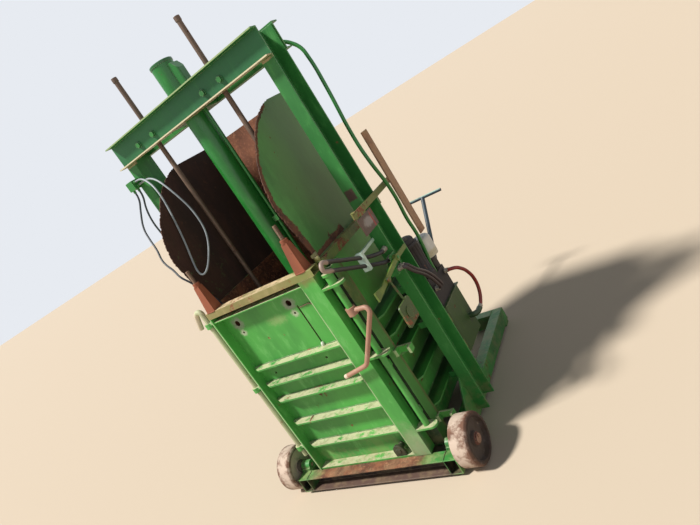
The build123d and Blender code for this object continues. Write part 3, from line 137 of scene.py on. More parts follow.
@dataclass(frozen=True)
class Studio:
    """The photograph's viewpoint, a pale floor and soft lamps."""

    viewpoint: Point = (1.7869, -2.1054, 1.6439)
    yaw: float = math.radians(35.72)
    pitch: float = math.radians(-14.06)
    roll: float = math.radians(32.83)
    focal_pixels: float = 548.8
    picture_pixels: float = 700.0
    sensor: float = 36.0
    floor_radius: float = 60.0
    floor_columns: int = 96
    floor_colour: Colour = (0.53, 0.445, 0.345)
    floor_rough: float = 0.9
    sky_colour: Colour = (0.80, 0.83, 0.88)
    sky_strength: float = 0.235
    key_way: Point = (0.427, 0.388, -0.815)
    key_strength: float = 5.2
    key_degrees: float = 7.0
    key_colour: Colour = (1.0, 0.96, 0.90)
    fill_way: Point = (-0.70, 0.62, -0.35)
    fill_strength: float = 0.4
    fill_degrees: float = 70.0
    fill_colour: Colour = (0.9, 0.95, 1.0)

    def camera(self, plan: Plan) -> None:
        """Stands the camera where the photograph was taken, turned about its line of sight.

        Args:
            plan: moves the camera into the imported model's frame.
        """
        ahead = Vector((
            -math.sin(self.yaw) * math.cos(self.pitch),
            math.cos(self.yaw) * math.cos(self.pitch),
            math.sin(self.pitch),
        ))
        level = Vector((math.cos(self.yaw), math.sin(self.yaw), 0.0))
        upward = level.cross(ahead)
        right = level * math.cos(self.roll) - upward * math.sin(self.roll)
        top = level * math.sin(self.roll) + upward * math.cos(self.roll)
        turn = Matrix((right, top, -ahead)).transposed()
        data = bpy.data.cameras.new("photo_camera")
        data.sensor_width = self.sensor
        data.lens = self.focal_pixels * self.sensor / self.picture_pixels
        data.clip_end = 2 * self.floor_radius
        camera = stand("photo_camera", data)
        camera.matrix_world = Matrix.Translation(plan.at(*self.viewpoint)) @ turn.to_4x4()
        bpy.context.scene.camera = camera

    @staticmethod
    def sun(name: str, way: Point, strength: float, degrees: float, colour: Colour) -> None:
        """Adds one even light from far away.

        Args:
            name: the light's name.
            way: the direction that it shines in.
            strength: its strength on a surface that faces it.
            degrees: its width in the sky.
            colour: its colour.
        """
        data = bpy.data.lights.new(name, "SUN")
        data.energy = strength
        data.angle = math.radians(degrees)
        data.color = colour
        light = stand(name, data)
        light.rotation_mode = "QUATERNION"
        light.rotation_quaternion = Vector(way).to_track_quat("-Z", "Y")

    def lights(self) -> None:
        """A warm key high at the front left, as in the photograph, and a weak broad fill."""
        self.sun("key", self.key_way, self.key_strength, self.key_degrees, self.key_colour)
        self.sun("fill", self.fill_way, self.fill_strength, self.fill_degrees, self.fill_colour)

    def sky(self) -> None:
        """A plain world: dim as a light, pale where the camera or a shiny surface sees it."""
        world = bpy.data.worlds.new("studio_sky")
        world.use_nodes = True
        bpy.context.scene.world = world
        tree = world.node_tree
        tree.nodes.clear()
        draw = Sketch(tree)
        ray = draw.node("ShaderNodeLightPath")
        seen = draw.sum("MAXIMUM", ray.outputs["Is Camera Ray"], ray.outputs["Is Glossy Ray"])
        background = draw.node("ShaderNodeBackground")
        background.inputs["Color"].default_value = (*self.sky_colour, 1.0)
        draw.link(draw.between(seen, self.sky_strength, 1.0), background.inputs["Strength"])
        out = draw.node("ShaderNodeOutputWorld")
        draw.link(background.outputs[0], out.inputs[0])

    def floor(self) -> None:
        """A round plain floor at height zero: rays from its middle to its rim."""
        radius = np.array([0.0, self.floor_radius])[:, None]
        angle = np.linspace(0, 2 * np.pi, self.floor_columns, endpoint=False)[None, :]
        points = np.stack([radius * np.cos(angle), radius * np.sin(angle),
                           np.zeros((2, angle.size))], axis=-1)
        material = bpy.data.materials.new("studio_floor")
        material.use_nodes = True
        shader = material.node_tree.nodes["Principled BSDF"]
        shader.inputs["Base Color"].default_value = (*self.floor_colour, 1.0)
        shader.inputs["Roughness"].default_value = self.floor_rough
        floor = make_piece("studio_floor", [Sheet(points)], material)


# Meshes worked out as arrays


@dataclass
class Sheet:
    """A surface of two parameters: rows along it, columns round it."""

    points: np.ndarray
    round: bool = True

    def quads(self, first: int) -> np.ndarray:
        """Corner numbers of each four-sided face.

        Args:
            first: the number of this sheet's first point in the whole mesh.

        Returns:
            One row of four numbers a face, with the last column joined to the first if round.
        """
        rows, columns = self.points.shape[:2]
        number = first + np.arange(rows * columns).reshape(rows, columns)
        following = np.roll(number, -1, axis=1)
        faces = np.stack([number[:-1], following[:-1], following[1:], number[1:]], axis=-1)
        return (faces if self.round else faces[:, :-1]).reshape(-1, 4)


def make_piece(name: str, sheets: Sequence[Sheet], material: bpy.types.Material,
               marks: dict[str, np.ndarray] | None = None) -> bpy.types.Object:
    """Puts sheets into one mesh object at the origin.

    Args:
        name: the piece's name.
        sheets: its surfaces.
        material: its finish.
        marks: values for each point, kept as attributes that the finish reads.

    Returns:
        The new object, its doubled points merged and its faces turned outwards.
    """
    starts = np.cumsum([0] + [sheet.points.shape[0] * sheet.points.shape[1] for sheet in sheets])
    points = np.concatenate([sheet.points.reshape(-1, 3) for sheet in sheets])
    faces = np.concatenate([sheet.quads(int(start)) for sheet, start in zip(sheets, starts)])
    mesh = bpy.data.meshes.new(name)
    mesh.vertices.add(len(points))
    mesh.vertices.foreach_set("co", points.astype(np.float32).ravel())
    mesh.loops.add(faces.size)
    mesh.loops.foreach_set("vertex_index", faces.astype(np.int32).ravel())
    mesh.polygons.add(len(faces))
    mesh.polygons.foreach_set("loop_start", np.arange(0, faces.size, 4, dtype=np.int32))
    mesh.update(calc_edges=True)
    for mark, values in (marks or {}).items():
        attribute = mesh.attributes.new(mark, "FLOAT", "POINT")
        attribute.data.foreach_set("value", values.astype(np.float32).ravel())
    work = bmesh.new()
    work.from_mesh(mesh)
    bmesh.ops.remove_doubles(work, verts=work.verts, dist=1e-6)
    bmesh.ops.recalc_face_normals(work, faces=work.faces)
    work.to_mesh(mesh)
    work.free()
    mesh.polygons.foreach_set("use_smooth", np.ones(len(mesh.polygons), dtype=bool))
    mesh.materials.append(material)
    return stand(name, mesh)


def axes_along(direction: Point) -> tuple[np.ndarray, np.ndarray, np.ndarray]:
    """A unit vector along the direction and two across it, from two cross products.

    Args:
        direction: a way, of any length.

    Returns:
        The vector along it, and the two across it.
    """
    along = unit(np.array(direction, float))
    helper = np.array([1.0, 0.0, 0.0]) if abs(along[2]) > 0.9 else np.array([0.0, 0.0, 1.0])
    side = unit(np.cross(helper, along))
    return along, side, np.cross(along, side)


def turned(start: Point, direction: Point, along: np.ndarray, radius: np.ndarray,
           columns: int = 32) -> Sheet:
    """A shape turned about a line.

    A point is start + along * axis + radius * (cos angle * side + sin angle * up). The radius may
    change with the angle too, as on a hexagon or a thread. Both ends are closed by a ring of
    radius zero.

    Args:
        start: where the line begins.
        direction: the way that it runs.
        along: distance from the start for each row.
        radius: radius for each row, or for each row and column.
        columns: points round the line.

    Returns:
        The closed sheet.
    """
    axis, side, up = axes_along(direction)
    radius = np.broadcast_to(radius.reshape(len(along), -1), (len(along), columns))
    radius = np.concatenate([np.zeros((1, columns)), radius, np.zeros((1, columns))])
    along = np.concatenate([along[:1], along, along[-1:]])
    angle = np.linspace(0, 2 * np.pi, columns, endpoint=False)
    round_it = np.cos(angle)[:, None] * side + np.sin(angle)[:, None] * up
    points = np.array(start) + along[:, None, None] * axis + radius[:, :, None] * round_it[None]
    return Sheet(points)


def hexagon(flats: float, columns: int) -> np.ndarray:
    """Radius of a hexagon at each angle: half its flats over the cosine to the nearest flat.

    Args:
        flats: distance across the flats.
        columns: angles round it.

    Returns:
        The radius at each angle.
    """
    angle = np.linspace(0, 2 * np.pi, columns, endpoint=False)
    off_flat = (angle + np.pi / 6) % (np.pi / 3) - np.pi / 6
    return flats / 2 / np.cos(off_flat)


def bar(low: Point, high: Point, place: Point) -> Sheet:
    """A rectangular bar between two corners, moved by a place.

    Args:
        low: its lowest corner.
        high: its highest corner.
        place: added to each point.

    Returns:
        Four columns round the bar, from one closed end to the other.
    """
    (x0, y0, z0), (x1, y1, z1) = low, high
    ring = np.array([(x0, y0), (x1, y0), (x1, y1), (x0, y1)])
    middle = np.broadcast_to(ring.mean(axis=0), ring.shape)
    rows = np.stack([middle, ring, ring, middle])
    level = np.broadcast_to(np.array([z0, z0, z1, z1])[:, None, None], (4, 4, 1))
    return Sheet(np.concatenate([rows, level], axis=-1) + np.array(place))


def bead(path: np.ndarray, radius: float, ripple: float = 0.012, seed: float = 0.0,
         columns: int = 10) -> Sheet:
    """A weld bead carried along a path.

    Its round section swells with a sine of the distance run, once a ripple, and wanders a little
    with two slower sines. It tapers to a point at both ends.

    Args:
        path: points along the bead's middle.
        radius: its mean radius.
        ripple: distance from one swelling to the next.
        seed: moves the waves, so that no two beads are alike.
        columns: points round the section.

    Returns:
        The closed sheet.
    """
    step = np.linalg.norm(np.diff(path, axis=0), axis=1)
    run = np.concatenate([[0.0], np.cumsum(step)])
    forward = unit(np.gradient(path, axis=0))
    helper = np.where(np.abs(forward[:, 2:]) > 0.9, [[1.0, 0.0, 0.0]], [[0.0, 0.0, 1.0]])
    side = unit(np.cross(helper, forward))
    up = np.cross(forward, side)
    swell = 1 + 0.2 * np.sin(2 * np.pi * run / ripple + seed) + 0.15 * np.sin(run * 61 + 3 * seed)
    taper = np.sqrt(np.clip(np.minimum(run, run[-1] - run) / (1.5 * radius), 0, 1))
    size = radius * swell * taper
    wander = 0.25 * radius * np.sin(run * 97 + 5 * seed)
    angle = np.linspace(0, 2 * np.pi, columns, endpoint=False)
    middle = path + wander[:, None] * side
    ring = np.cos(angle)[None, :, None] * side[:, None] + np.sin(angle)[None, :, None] * up[:, None]
    return Sheet(middle[:, None] + size[:, None, None] * ring)


def straight(start: Point, end: Point, spacing: float = 0.003) -> np.ndarray:
    """Evenly spaced points from start to end, both included.

    Args:
        start: the first point.
        end: the last point.
        spacing: about how far apart they are.

    Returns:
        The points, one a row.
    """
    a, b = np.array(start, float), np.array(end, float)
    count = max(4, int(np.linalg.norm(b - a) / spacing))
    return a + np.linspace(0, 1, count)[:, None] * (b - a)


def arc_through(start: np.ndarray, middle: np.ndarray, end: np.ndarray, count: int) -> np.ndarray:
    """Points on the circle through three points of a plane, from the first to the last.

    The centre solves the two equations that say it is as far from the middle point as from
    each end.

    Args:
        start: the first point.
        middle: a point between.
        end: the last point.
        count: how many points.

    Returns:
        The points, one a row.
    """
    rows = 2 * np.array([middle - start, end - middle])
    sums = np.array([middle @ middle - start @ start, end @ end - middle @ middle])
    centre = np.linalg.solve(rows, sums)
    radius = np.linalg.norm(start - centre)
    turns = [math.atan2(*(point - centre)[::-1]) for point in (start, middle, end)]
    turns = np.unwrap(turns)
    angle = np.linspace(turns[0], turns[2], count)[:, None]
    return centre + radius * np.concatenate([np.cos(angle), np.sin(angle)], axis=1)


# Shader nodes


class Sketch:
    """Adds and joins shader nodes in one tree."""

    def __init__(self, tree: bpy.types.NodeTree) -> None:
        """Keeps the tree that the nodes go into."""
        self.tree = tree

    def node(self, kind: str, **settings: object) -> bpy.types.Node:
        """A new node with the given settings.

        Args:
            kind: the node's type.
            settings: its properties by name.

        Returns:
            The new node.
        """
        made = self.tree.nodes.new(kind)
        for name, value in settings.items():
            setattr(made, name, value)
        return made

    def link(self, source: Socket, target: Socket) -> None:
        """Joins an output to an input."""
        self.tree.links.new(source, target)

    def feed(self, target: Socket, value: Given) -> None:
        """Gives an input a plain value or another node's output."""
        if isinstance(value, Socket):
            self.link(value, target)
        elif isinstance(value, (tuple, list, Vector)) and target.type == "RGBA":
            target.default_value = (*value[:3], 1.0)
        else:
            target.default_value = value

    def sum(self, operation: str, *values: Given) -> Socket:
        """One step of arithmetic on up to three values.

        Args:
            operation: name of the step.
            values: what it works on.

        Returns:
            Its result.
        """
        made = self.node("ShaderNodeMath", operation=operation)
        for target, value in zip(made.inputs, values):
            self.feed(target, value)
        return made.outputs[0]

    def vector(self, operation: str, *values: Given) -> bpy.types.Node:
        """One step of arithmetic on vectors.

        Args:
            operation: name of the step.
            values: what it works on.

        Returns:
            The node, whose outputs are a vector and a value.
        """
        made = self.node("ShaderNodeVectorMath", operation=operation)
        for target, value in zip(made.inputs, values):
            self.feed(target, value)
        return made

    def noise(self, place: Socket, scale: Given, detail: float = 4.0, rough: float = 0.6) -> Socket:
        """Smooth noise from 0 to 1 at a place.

        Args:
            place: where it is read.
            scale: how fine it is.
            detail: how many finer layers it has.
            rough: how strong those are.

        Returns:
            The noise.
        """
        made = self.node("ShaderNodeTexNoise")
        self.feed(made.inputs["Vector"], place)
        self.feed(made.inputs["Scale"], scale)
        made.inputs["Detail"].default_value = detail
        made.inputs["Roughness"].default_value = rough
        return made.outputs[0]

    def step(self, value: Given, low: Given, high: Given) -> Socket:
        """A smooth rise from 0 at low to 1 at high, either way round.

        Args:
            value: what is looked at.
            low: where the rise starts.
            high: where it ends.

        Returns:
            The rise.
        """
        made = self.node("ShaderNodeMapRange", interpolation_type="SMOOTHSTEP")
        for socket, given in zip(made.inputs, (value, low, high, 0.0, 1.0)):
            self.feed(socket, given)
        return made.outputs[0]

    def between(self, share: Given, low: float, high: float) -> Socket:
        """The value at a share of the way from low to high.

        Args:
            share: 0 to 1.
            low: the value at 0.
            high: the value at 1.

        Returns:
            The value.
        """
        made = self.node("ShaderNodeMapRange")
        for socket, given in zip(made.inputs, (share, 0.0, 1.0, low, high)):
            self.feed(socket, given)
        return made.outputs[0]

    def blend(self, share: Given, first: Given, second: Given) -> Socket:
        """The first colour where the share is 0, the second where it is 1.

        Args:
            share: 0 to 1.
            first: a colour.
            second: another colour.

        Returns:
            The mixed colour.
        """
        made = self.node("ShaderNodeMix", data_type="RGBA")
        for socket, given in zip((made.inputs[0], made.inputs[6], made.inputs[7]),
                                 (share, first, second)):
            self.feed(socket, given)
        return made.outputs[2]

    def stretch(self, place: Socket, x: float, y: float, z: float) -> Socket:
        """A place whose three parts are each multiplied, so that a pattern runs longer one way."""
        return self.vector("MULTIPLY", place, (x, y, z)).outputs[0]

    def rise(self, vector: Socket) -> Socket:
        """The Z part of a vector.

        Args:
            vector: a place or a way.

        Returns:
            Its Z part.
        """
        parts = self.node("ShaderNodeSeparateXYZ")
        self.link(vector, parts.inputs[0])
        return parts.outputs[2]

    def group(self, tree: bpy.types.NodeTree, **inputs: Given) -> bpy.types.Node:
        """A node that holds a shared group, with its inputs given by name.

        Args:
            tree: the shared group.
            inputs: its inputs by name.

        Returns:
            The new node.
        """
        made = self.node("ShaderNodeGroup", node_tree=tree)
        for name, value in inputs.items():
            self.feed(made.inputs[name], value)
        return made


def new_group(name: str, inputs: dict[str, str],
              outputs: dict[str, str]) -> tuple[Sketch, bpy.types.Node, bpy.types.Node]:
    """An empty shader group.

    Args:
        name: the group's name.
        inputs: kind of socket for each input's name.
        outputs: kind of socket for each output's name.

    Returns:
        A sketch of the group's tree, its input node and its output node.
    """
    tree = bpy.data.node_groups.new(name, "ShaderNodeTree")
    for way, sockets in (("INPUT", inputs), ("OUTPUT", outputs)):
        for socket, kind in sockets.items():
            tree.interface.new_socket(socket, in_out=way, socket_type=f"NodeSocket{kind}")
    draw = Sketch(tree)
    return draw, draw.node("NodeGroupInput"), draw.node("NodeGroupOutput")


class Effects:
    """Shader groups that several finishes share, each built once."""

    def __init__(self) -> None:
        """Builds every group."""
        self.rust = self.rust_tone()
        self.flakes = self.flaked_off()
        self.edges = self.worn_edges()
        self.zone = self.soft_zone()

    @staticmethod
    def rust_tone() -> bpy.types.NodeTree:
        """Rust colours from dark brown to orange by two noises, and a rough height.

        Returns:
            The node group.
        """
        draw, given, out = new_group("rust_tone", {"Place": "Vector", "Scale": "Float"},
                                     {"Color": "Color", "Height": "Float"})
        place, scale = given.outputs["Place"], given.outputs["Scale"]
        coarse = draw.noise(place, scale, 6.0, 0.7)
        fine = draw.noise(place, draw.sum("MULTIPLY", scale, 7.0), 3.0, 0.7)
        tone = draw.blend(draw.step(coarse, 0.38, 0.62), paint(72, 42, 30), paint(132, 82, 56))
        tone = draw.blend(draw.step(fine, 0.5, 0.75), tone, paint(168, 118, 88))
        draw.link(tone, out.inputs["Color"])
        draw.link(fine, out.inputs["Height"])
        return draw.tree

    @staticmethod
    def flaked_off() -> bpy.types.NodeTree:
        """Where paint has gone: noise above a limit that falls as Amount grows.

        Returns:
            The node group.
        """
        draw, given, out = new_group("flaked_off", {"Place": "Vector", "Scale": "Float",
                                                    "Amount": "Float"}, {"Mask": "Float"})
        place, scale = given.outputs["Place"], given.outputs["Scale"]
        large = draw.noise(place, scale, 8.0, 0.72)
        small = draw.noise(place, draw.sum("MULTIPLY", scale, 6.0), 4.0, 0.7)
        value = draw.sum("ADD", draw.sum("MULTIPLY", large, 0.75), draw.sum("MULTIPLY", small, 0.25))
        limit = draw.between(given.outputs["Amount"], 0.67, 0.40)
        mask = draw.step(value, limit, draw.sum("ADD", limit, 0.035))
        draw.link(mask, out.inputs["Mask"])
        return draw.tree

    @staticmethod
    def worn_edges() -> bpy.types.NodeTree:
        """Wear along edges: how far the rounded normal turns from the true one, broken by noise.

        Returns:
            The node group.
        """
        draw, given, out = new_group("worn_edges", {"Place": "Vector", "Radius": "Float",
                                                    "Amount": "Float"}, {"Mask": "Float"})
        rounded = draw.node("ShaderNodeBevel", samples=6)
        draw.link(given.outputs["Radius"], rounded.inputs["Radius"])
        true = draw.node("ShaderNodeNewGeometry")
        turn = draw.vector("DOT_PRODUCT", rounded.outputs[0], true.outputs["Normal"]).outputs["Value"]
        broken = draw.noise(given.outputs["Place"], 38.0, 5.0, 0.7)
        value = draw.sum("MULTIPLY", draw.sum("SUBTRACT", 1.0, turn), draw.between(broken, 0.2, 2.4))
        limit = draw.between(given.outputs["Amount"], 0.35, 0.03)
        draw.link(draw.step(value, limit, draw.sum("ADD", limit, 0.12)), out.inputs["Mask"])
        return draw.tree

    @staticmethod
    def soft_zone() -> bpy.types.NodeTree:
        """A patch round a middle: the distance, as a share of its half sizes, with a ragged edge.

        The distance is the length of the three shares for an egg, where Square is 0, and the largest
        of them for a box, where Square is 1.

        Returns:
            The node group.
        """
        draw, given, out = new_group(
            "soft_zone", {"Place": "Vector", "Middle": "Vector", "Half": "Vector", "Square": "Float",
                          "Soft": "Float", "Ragged": "Float", "Grain": "Float"}, {"Mask": "Float"})
        away = draw.vector("SUBTRACT", given.outputs["Place"], given.outputs["Middle"]).outputs[0]
        share = draw.vector("DIVIDE", away, given.outputs["Half"]).outputs[0]
        parts = draw.node("ShaderNodeSeparateXYZ")
        draw.link(draw.vector("ABSOLUTE", share).outputs[0], parts.inputs[0])
        largest = draw.sum("MAXIMUM", draw.sum("MAXIMUM", parts.outputs[0], parts.outputs[1]),
                           parts.outputs[2])
        egg = draw.vector("LENGTH", share).outputs["Value"]
        square = given.outputs["Square"]
        distance = draw.sum("ADD", draw.sum("MULTIPLY", egg, draw.sum("SUBTRACT", 1.0, square)),
                            draw.sum("MULTIPLY", largest, square))
        noise = draw.noise(given.outputs["Place"], given.outputs["Grain"], 6.0, 0.7)
        shift = draw.sum("MULTIPLY", draw.sum("SUBTRACT", noise, 0.5), given.outputs["Ragged"])
        value = draw.sum("ADD", distance, shift)
        high = draw.sum("ADD", 1.0, given.outputs["Soft"])
        low = draw.sum("SUBTRACT", 1.0, given.outputs["Soft"])
        draw.link(draw.step(value, high, low), out.inputs["Mask"])
        return draw.tree


class Form(Enum):
    """The outline of a patch on a finish."""

    EGG = 0.0
    BOX = 1.0


@dataclass(frozen=True)
class Patch:
    """A place where a finish is another colour, such as rust, bare metal, a paint mark, painted shade or
    a painted highlight.
    """

    middle: Point
    half: Point
    colour: Colour | None = None
    form: Form = Form.EGG
    soft: float = 0.12
    ragged: float = 0.8
    grain: float = 18.0
    strength: float = 1.0


@dataclass(frozen=True)
class Canvas:
    """What a finish is drawn with: its nodes, the shared effects and the plan of the press."""

    draw: Sketch
    shader: bpy.types.Node
    where: bpy.types.Node
    effects: Effects
    plan: Plan

    @property
    def place(self) -> Socket:
        """Each point's place in the model's frame."""
        return self.where.outputs["Object"]

    @property
    def facing(self) -> Socket:
        """The way that each face looks."""
        return self.where.outputs["Normal"]

    def mask(self, patch: Patch) -> Socket:
        """How strongly a patch shows at each place."""
        zone = self.draw.group(
            self.effects.zone, Place=self.place, Middle=self.plan.at(*patch.middle), Half=patch.half,
            Square=patch.form.value, Soft=patch.soft, Ragged=patch.ragged, Grain=patch.grain)
        return self.draw.sum("MULTIPLY", zone.outputs[0], patch.strength)

    def flakes(self, scale: float, amount: float) -> Socket:
        """Where flakes have come off, at a scale and in an amount."""
        return self.draw.group(self.effects.flakes, Place=self.place, Scale=scale,
                               Amount=amount).outputs[0]

    def rust(self, scale: float) -> bpy.types.Node:
        """Rust at a scale, with its colour and its height."""
        return self.draw.group(self.effects.rust, Place=self.place, Scale=scale)

    def bump(self, height: Socket, strength: float, distance: float) -> None:
        """Gives the surface a relief: the height is counted in the distance.

        Args:
            height: the relief at each place.
            strength: how much of it shows.
            distance: the length that a height of one stands for.
        """
        relief = self.draw.node("ShaderNodeBump")
        relief.inputs["Strength"].default_value = strength
        relief.inputs["Distance"].default_value = distance
        self.draw.link(height, relief.inputs["Height"])
        self.draw.link(relief.outputs[0], self.shader.inputs["Normal"])


@dataclass(frozen=True)
class Finish:
    """What every finish has: a name, and one way to become a material."""

    name: str

    def material(self, effects: Effects, plan: Plan) -> bpy.types.Material:
        """Makes the material.

        Args:
            effects: the shared shader groups.
            plan: moves the finish's places into the model's frame.

        Returns:
            The new material, drawn on by the finish.
        """
        material = bpy.data.materials.new(self.name)
        material.use_nodes = True
        draw = Sketch(material.node_tree)
        shader = material.node_tree.nodes["Principled BSDF"]
        self.draw_on(Canvas(draw, shader, draw.node("ShaderNodeTexCoord"), effects, plan))
        return material

    def draw_on(self, canvas: Canvas) -> None:
        """Joins the finish's own nodes to the shader."""
        raise NotImplementedError


GREEN = paint(66, 148, 66)
GREEN_DEEP = paint(38, 104, 48)
GREEN_PALE = paint(112, 182, 104)
CHALK = paint(176, 188, 152)
DUST = paint(150, 132, 100)
STAIN = paint(124, 122, 84)


@dataclass(frozen=True)
class Coat(Finish):
    """Weathered paint on steel, or bare and rusted steel where the colours are a metal's own."""

    colour: Colour = GREEN
    deep: Colour = GREEN_DEEP
    pale: Colour = GREEN_PALE
    rust: float = 0.25
    rust_scale: float = 7.0
    edge: float = 0.45
    edge_colour: Colour = CHALK
    top: float = 0.5
    top_colour: Colour = CHALK
    mud: float = 0.5
    rough: float = 0.48
    metal: float = 0.0
    lumps: float = 0.25
    grain: tuple[float, float, float] = (1.0, 1.0, 0.35)
    rust_facing: Point | None = None
    patches: tuple[Patch, ...] = ()

    def draw_on(self, canvas: Canvas) -> None:
        """Paint, chalk on upper faces, rust, coloured patches that include painted shade and highlights,
        worn edges, then mud low down.

        Args:
            canvas: what the finish is drawn with.
        """
        draw = canvas.draw
        streaks = draw.stretch(canvas.place, *self.grain)
        quick = draw.noise(streaks, 21.0, 4.0, 0.7)
        chalky = draw.noise(canvas.place, 17.0, 8.0, 0.75)
        chalk = self.chalk(canvas, chalky)
        bare = self.bare(canvas)
        rust = canvas.rust(9.0)
        tone = self.painted(draw, streaks, quick)
        stained = draw.blend(draw.sum("MULTIPLY", draw.step(quick, 0.46, 0.66), 0.6),
                             self.top_colour, STAIN)
        tone = draw.blend(draw.sum("MULTIPLY", chalk, 0.35 + 0.6 * self.top), tone, stained)
        tone = draw.blend(bare, tone, rust.outputs["Color"])
        for patch in (patch for patch in self.patches if patch.colour is not None):
            tone = draw.blend(canvas.mask(patch), tone, patch.colour)
        draw.link(self.used(canvas, tone), canvas.shader.inputs["Base Color"])

        spread = draw.sum("MULTIPLY", draw.sum("SUBTRACT", quick, 0.5), 0.25)
        rough = draw.sum("ADD", draw.between(bare, self.rough, 0.85), spread)
        rough = draw.sum("MAXIMUM", rough, draw.sum("MULTIPLY", chalk, 0.8 * self.top))
        draw.link(draw.sum("MINIMUM", rough, 0.95), canvas.shader.inputs["Roughness"])
        canvas.shader.inputs["Metallic"].default_value = self.metal
        height = draw.sum("ADD", draw.sum("MULTIPLY", rust.outputs["Height"], bare),
                          draw.sum("MULTIPLY", chalky, self.lumps))
        canvas.bump(draw.sum("SUBTRACT", height, draw.sum("MULTIPLY", bare, 0.6)), 0.6, 0.0012)

    def painted(self, draw: Sketch, streaks: Socket,
                quick: Socket) -> Socket:
        """The paint's tone: deep or full by slow noise, with pale places by quick noise.

        Args:
            draw: the finish's nodes.
            streaks: places stretched along the streaks.
            quick: quick noise over them.

        Returns:
            The paint's colour.
        """
        slow = draw.noise(streaks, 2.6, 5.0, 0.65)
        tone = draw.blend(draw.between(draw.step(slow, 0.36, 0.60), 0.35, 1.0), self.deep, self.colour)
        return draw.blend(draw.sum("MULTIPLY", draw.step(quick, 0.52, 0.72), 0.5), tone, self.pale)

    def chalk(self, canvas: Canvas, chalky: Socket) -> Socket:
        """Where chalk lies, which on the tow handle is a painted highlight: faces that look up, broken by
        noise above a limit that top lowers.

        Args:
            canvas: what the finish is drawn with.
            chalky: fine noise.

        Returns:
            How thick the chalk lies at each place.
        """
        upward = canvas.draw.step(canvas.draw.rise(canvas.facing), 0.65, 0.9)
        least = 0.62 - 0.27 * self.top
        return canvas.draw.sum("MULTIPLY", upward, canvas.draw.step(chalky, least, least + 0.10))

    def bare(self, canvas: Canvas) -> Socket:
        """Where rust shows: flakes, faces that look the rusted way, and patches without a colour.

        Args:
            canvas: what the finish is drawn with.

        Returns:
            How bare each place is.
        """
        draw = canvas.draw
        bare = canvas.flakes(self.rust_scale, self.rust)
        if self.rust_facing:
            looks = draw.vector("DOT_PRODUCT", canvas.facing, self.rust_facing)
            bare = draw.sum("MAXIMUM", bare, draw.step(looks.outputs["Value"], 0.5, 0.8))
        for patch in (patch for patch in self.patches if patch.colour is None):
            bare = draw.sum("MAXIMUM", bare, canvas.mask(patch))
        return bare

    def used(self, canvas: Canvas, tone: Socket) -> Socket:
        """A tone with worn edges and, near the floor, splashes of mud.

        Args:
            canvas: what the finish is drawn with.
            tone: the colour so far.

        Returns:
            The worn and splashed colour.
        """
        draw = canvas.draw
        worn = draw.group(canvas.effects.edges, Place=canvas.place, Radius=0.0035,
                          Amount=self.edge).outputs[0]
        tone = draw.blend(draw.sum("MULTIPLY", worn, 0.75), tone, self.edge_colour)
        splash = draw.noise(canvas.place, 16.0, 6.0, 0.7)
        low = draw.sum("MULTIPLY", draw.step(draw.rise(canvas.place), 0.34, 0.0),
                       draw.step(splash, 0.42, 0.62))
        return draw.blend(draw.sum("MULTIPLY", low, self.mud), tone, DUST)


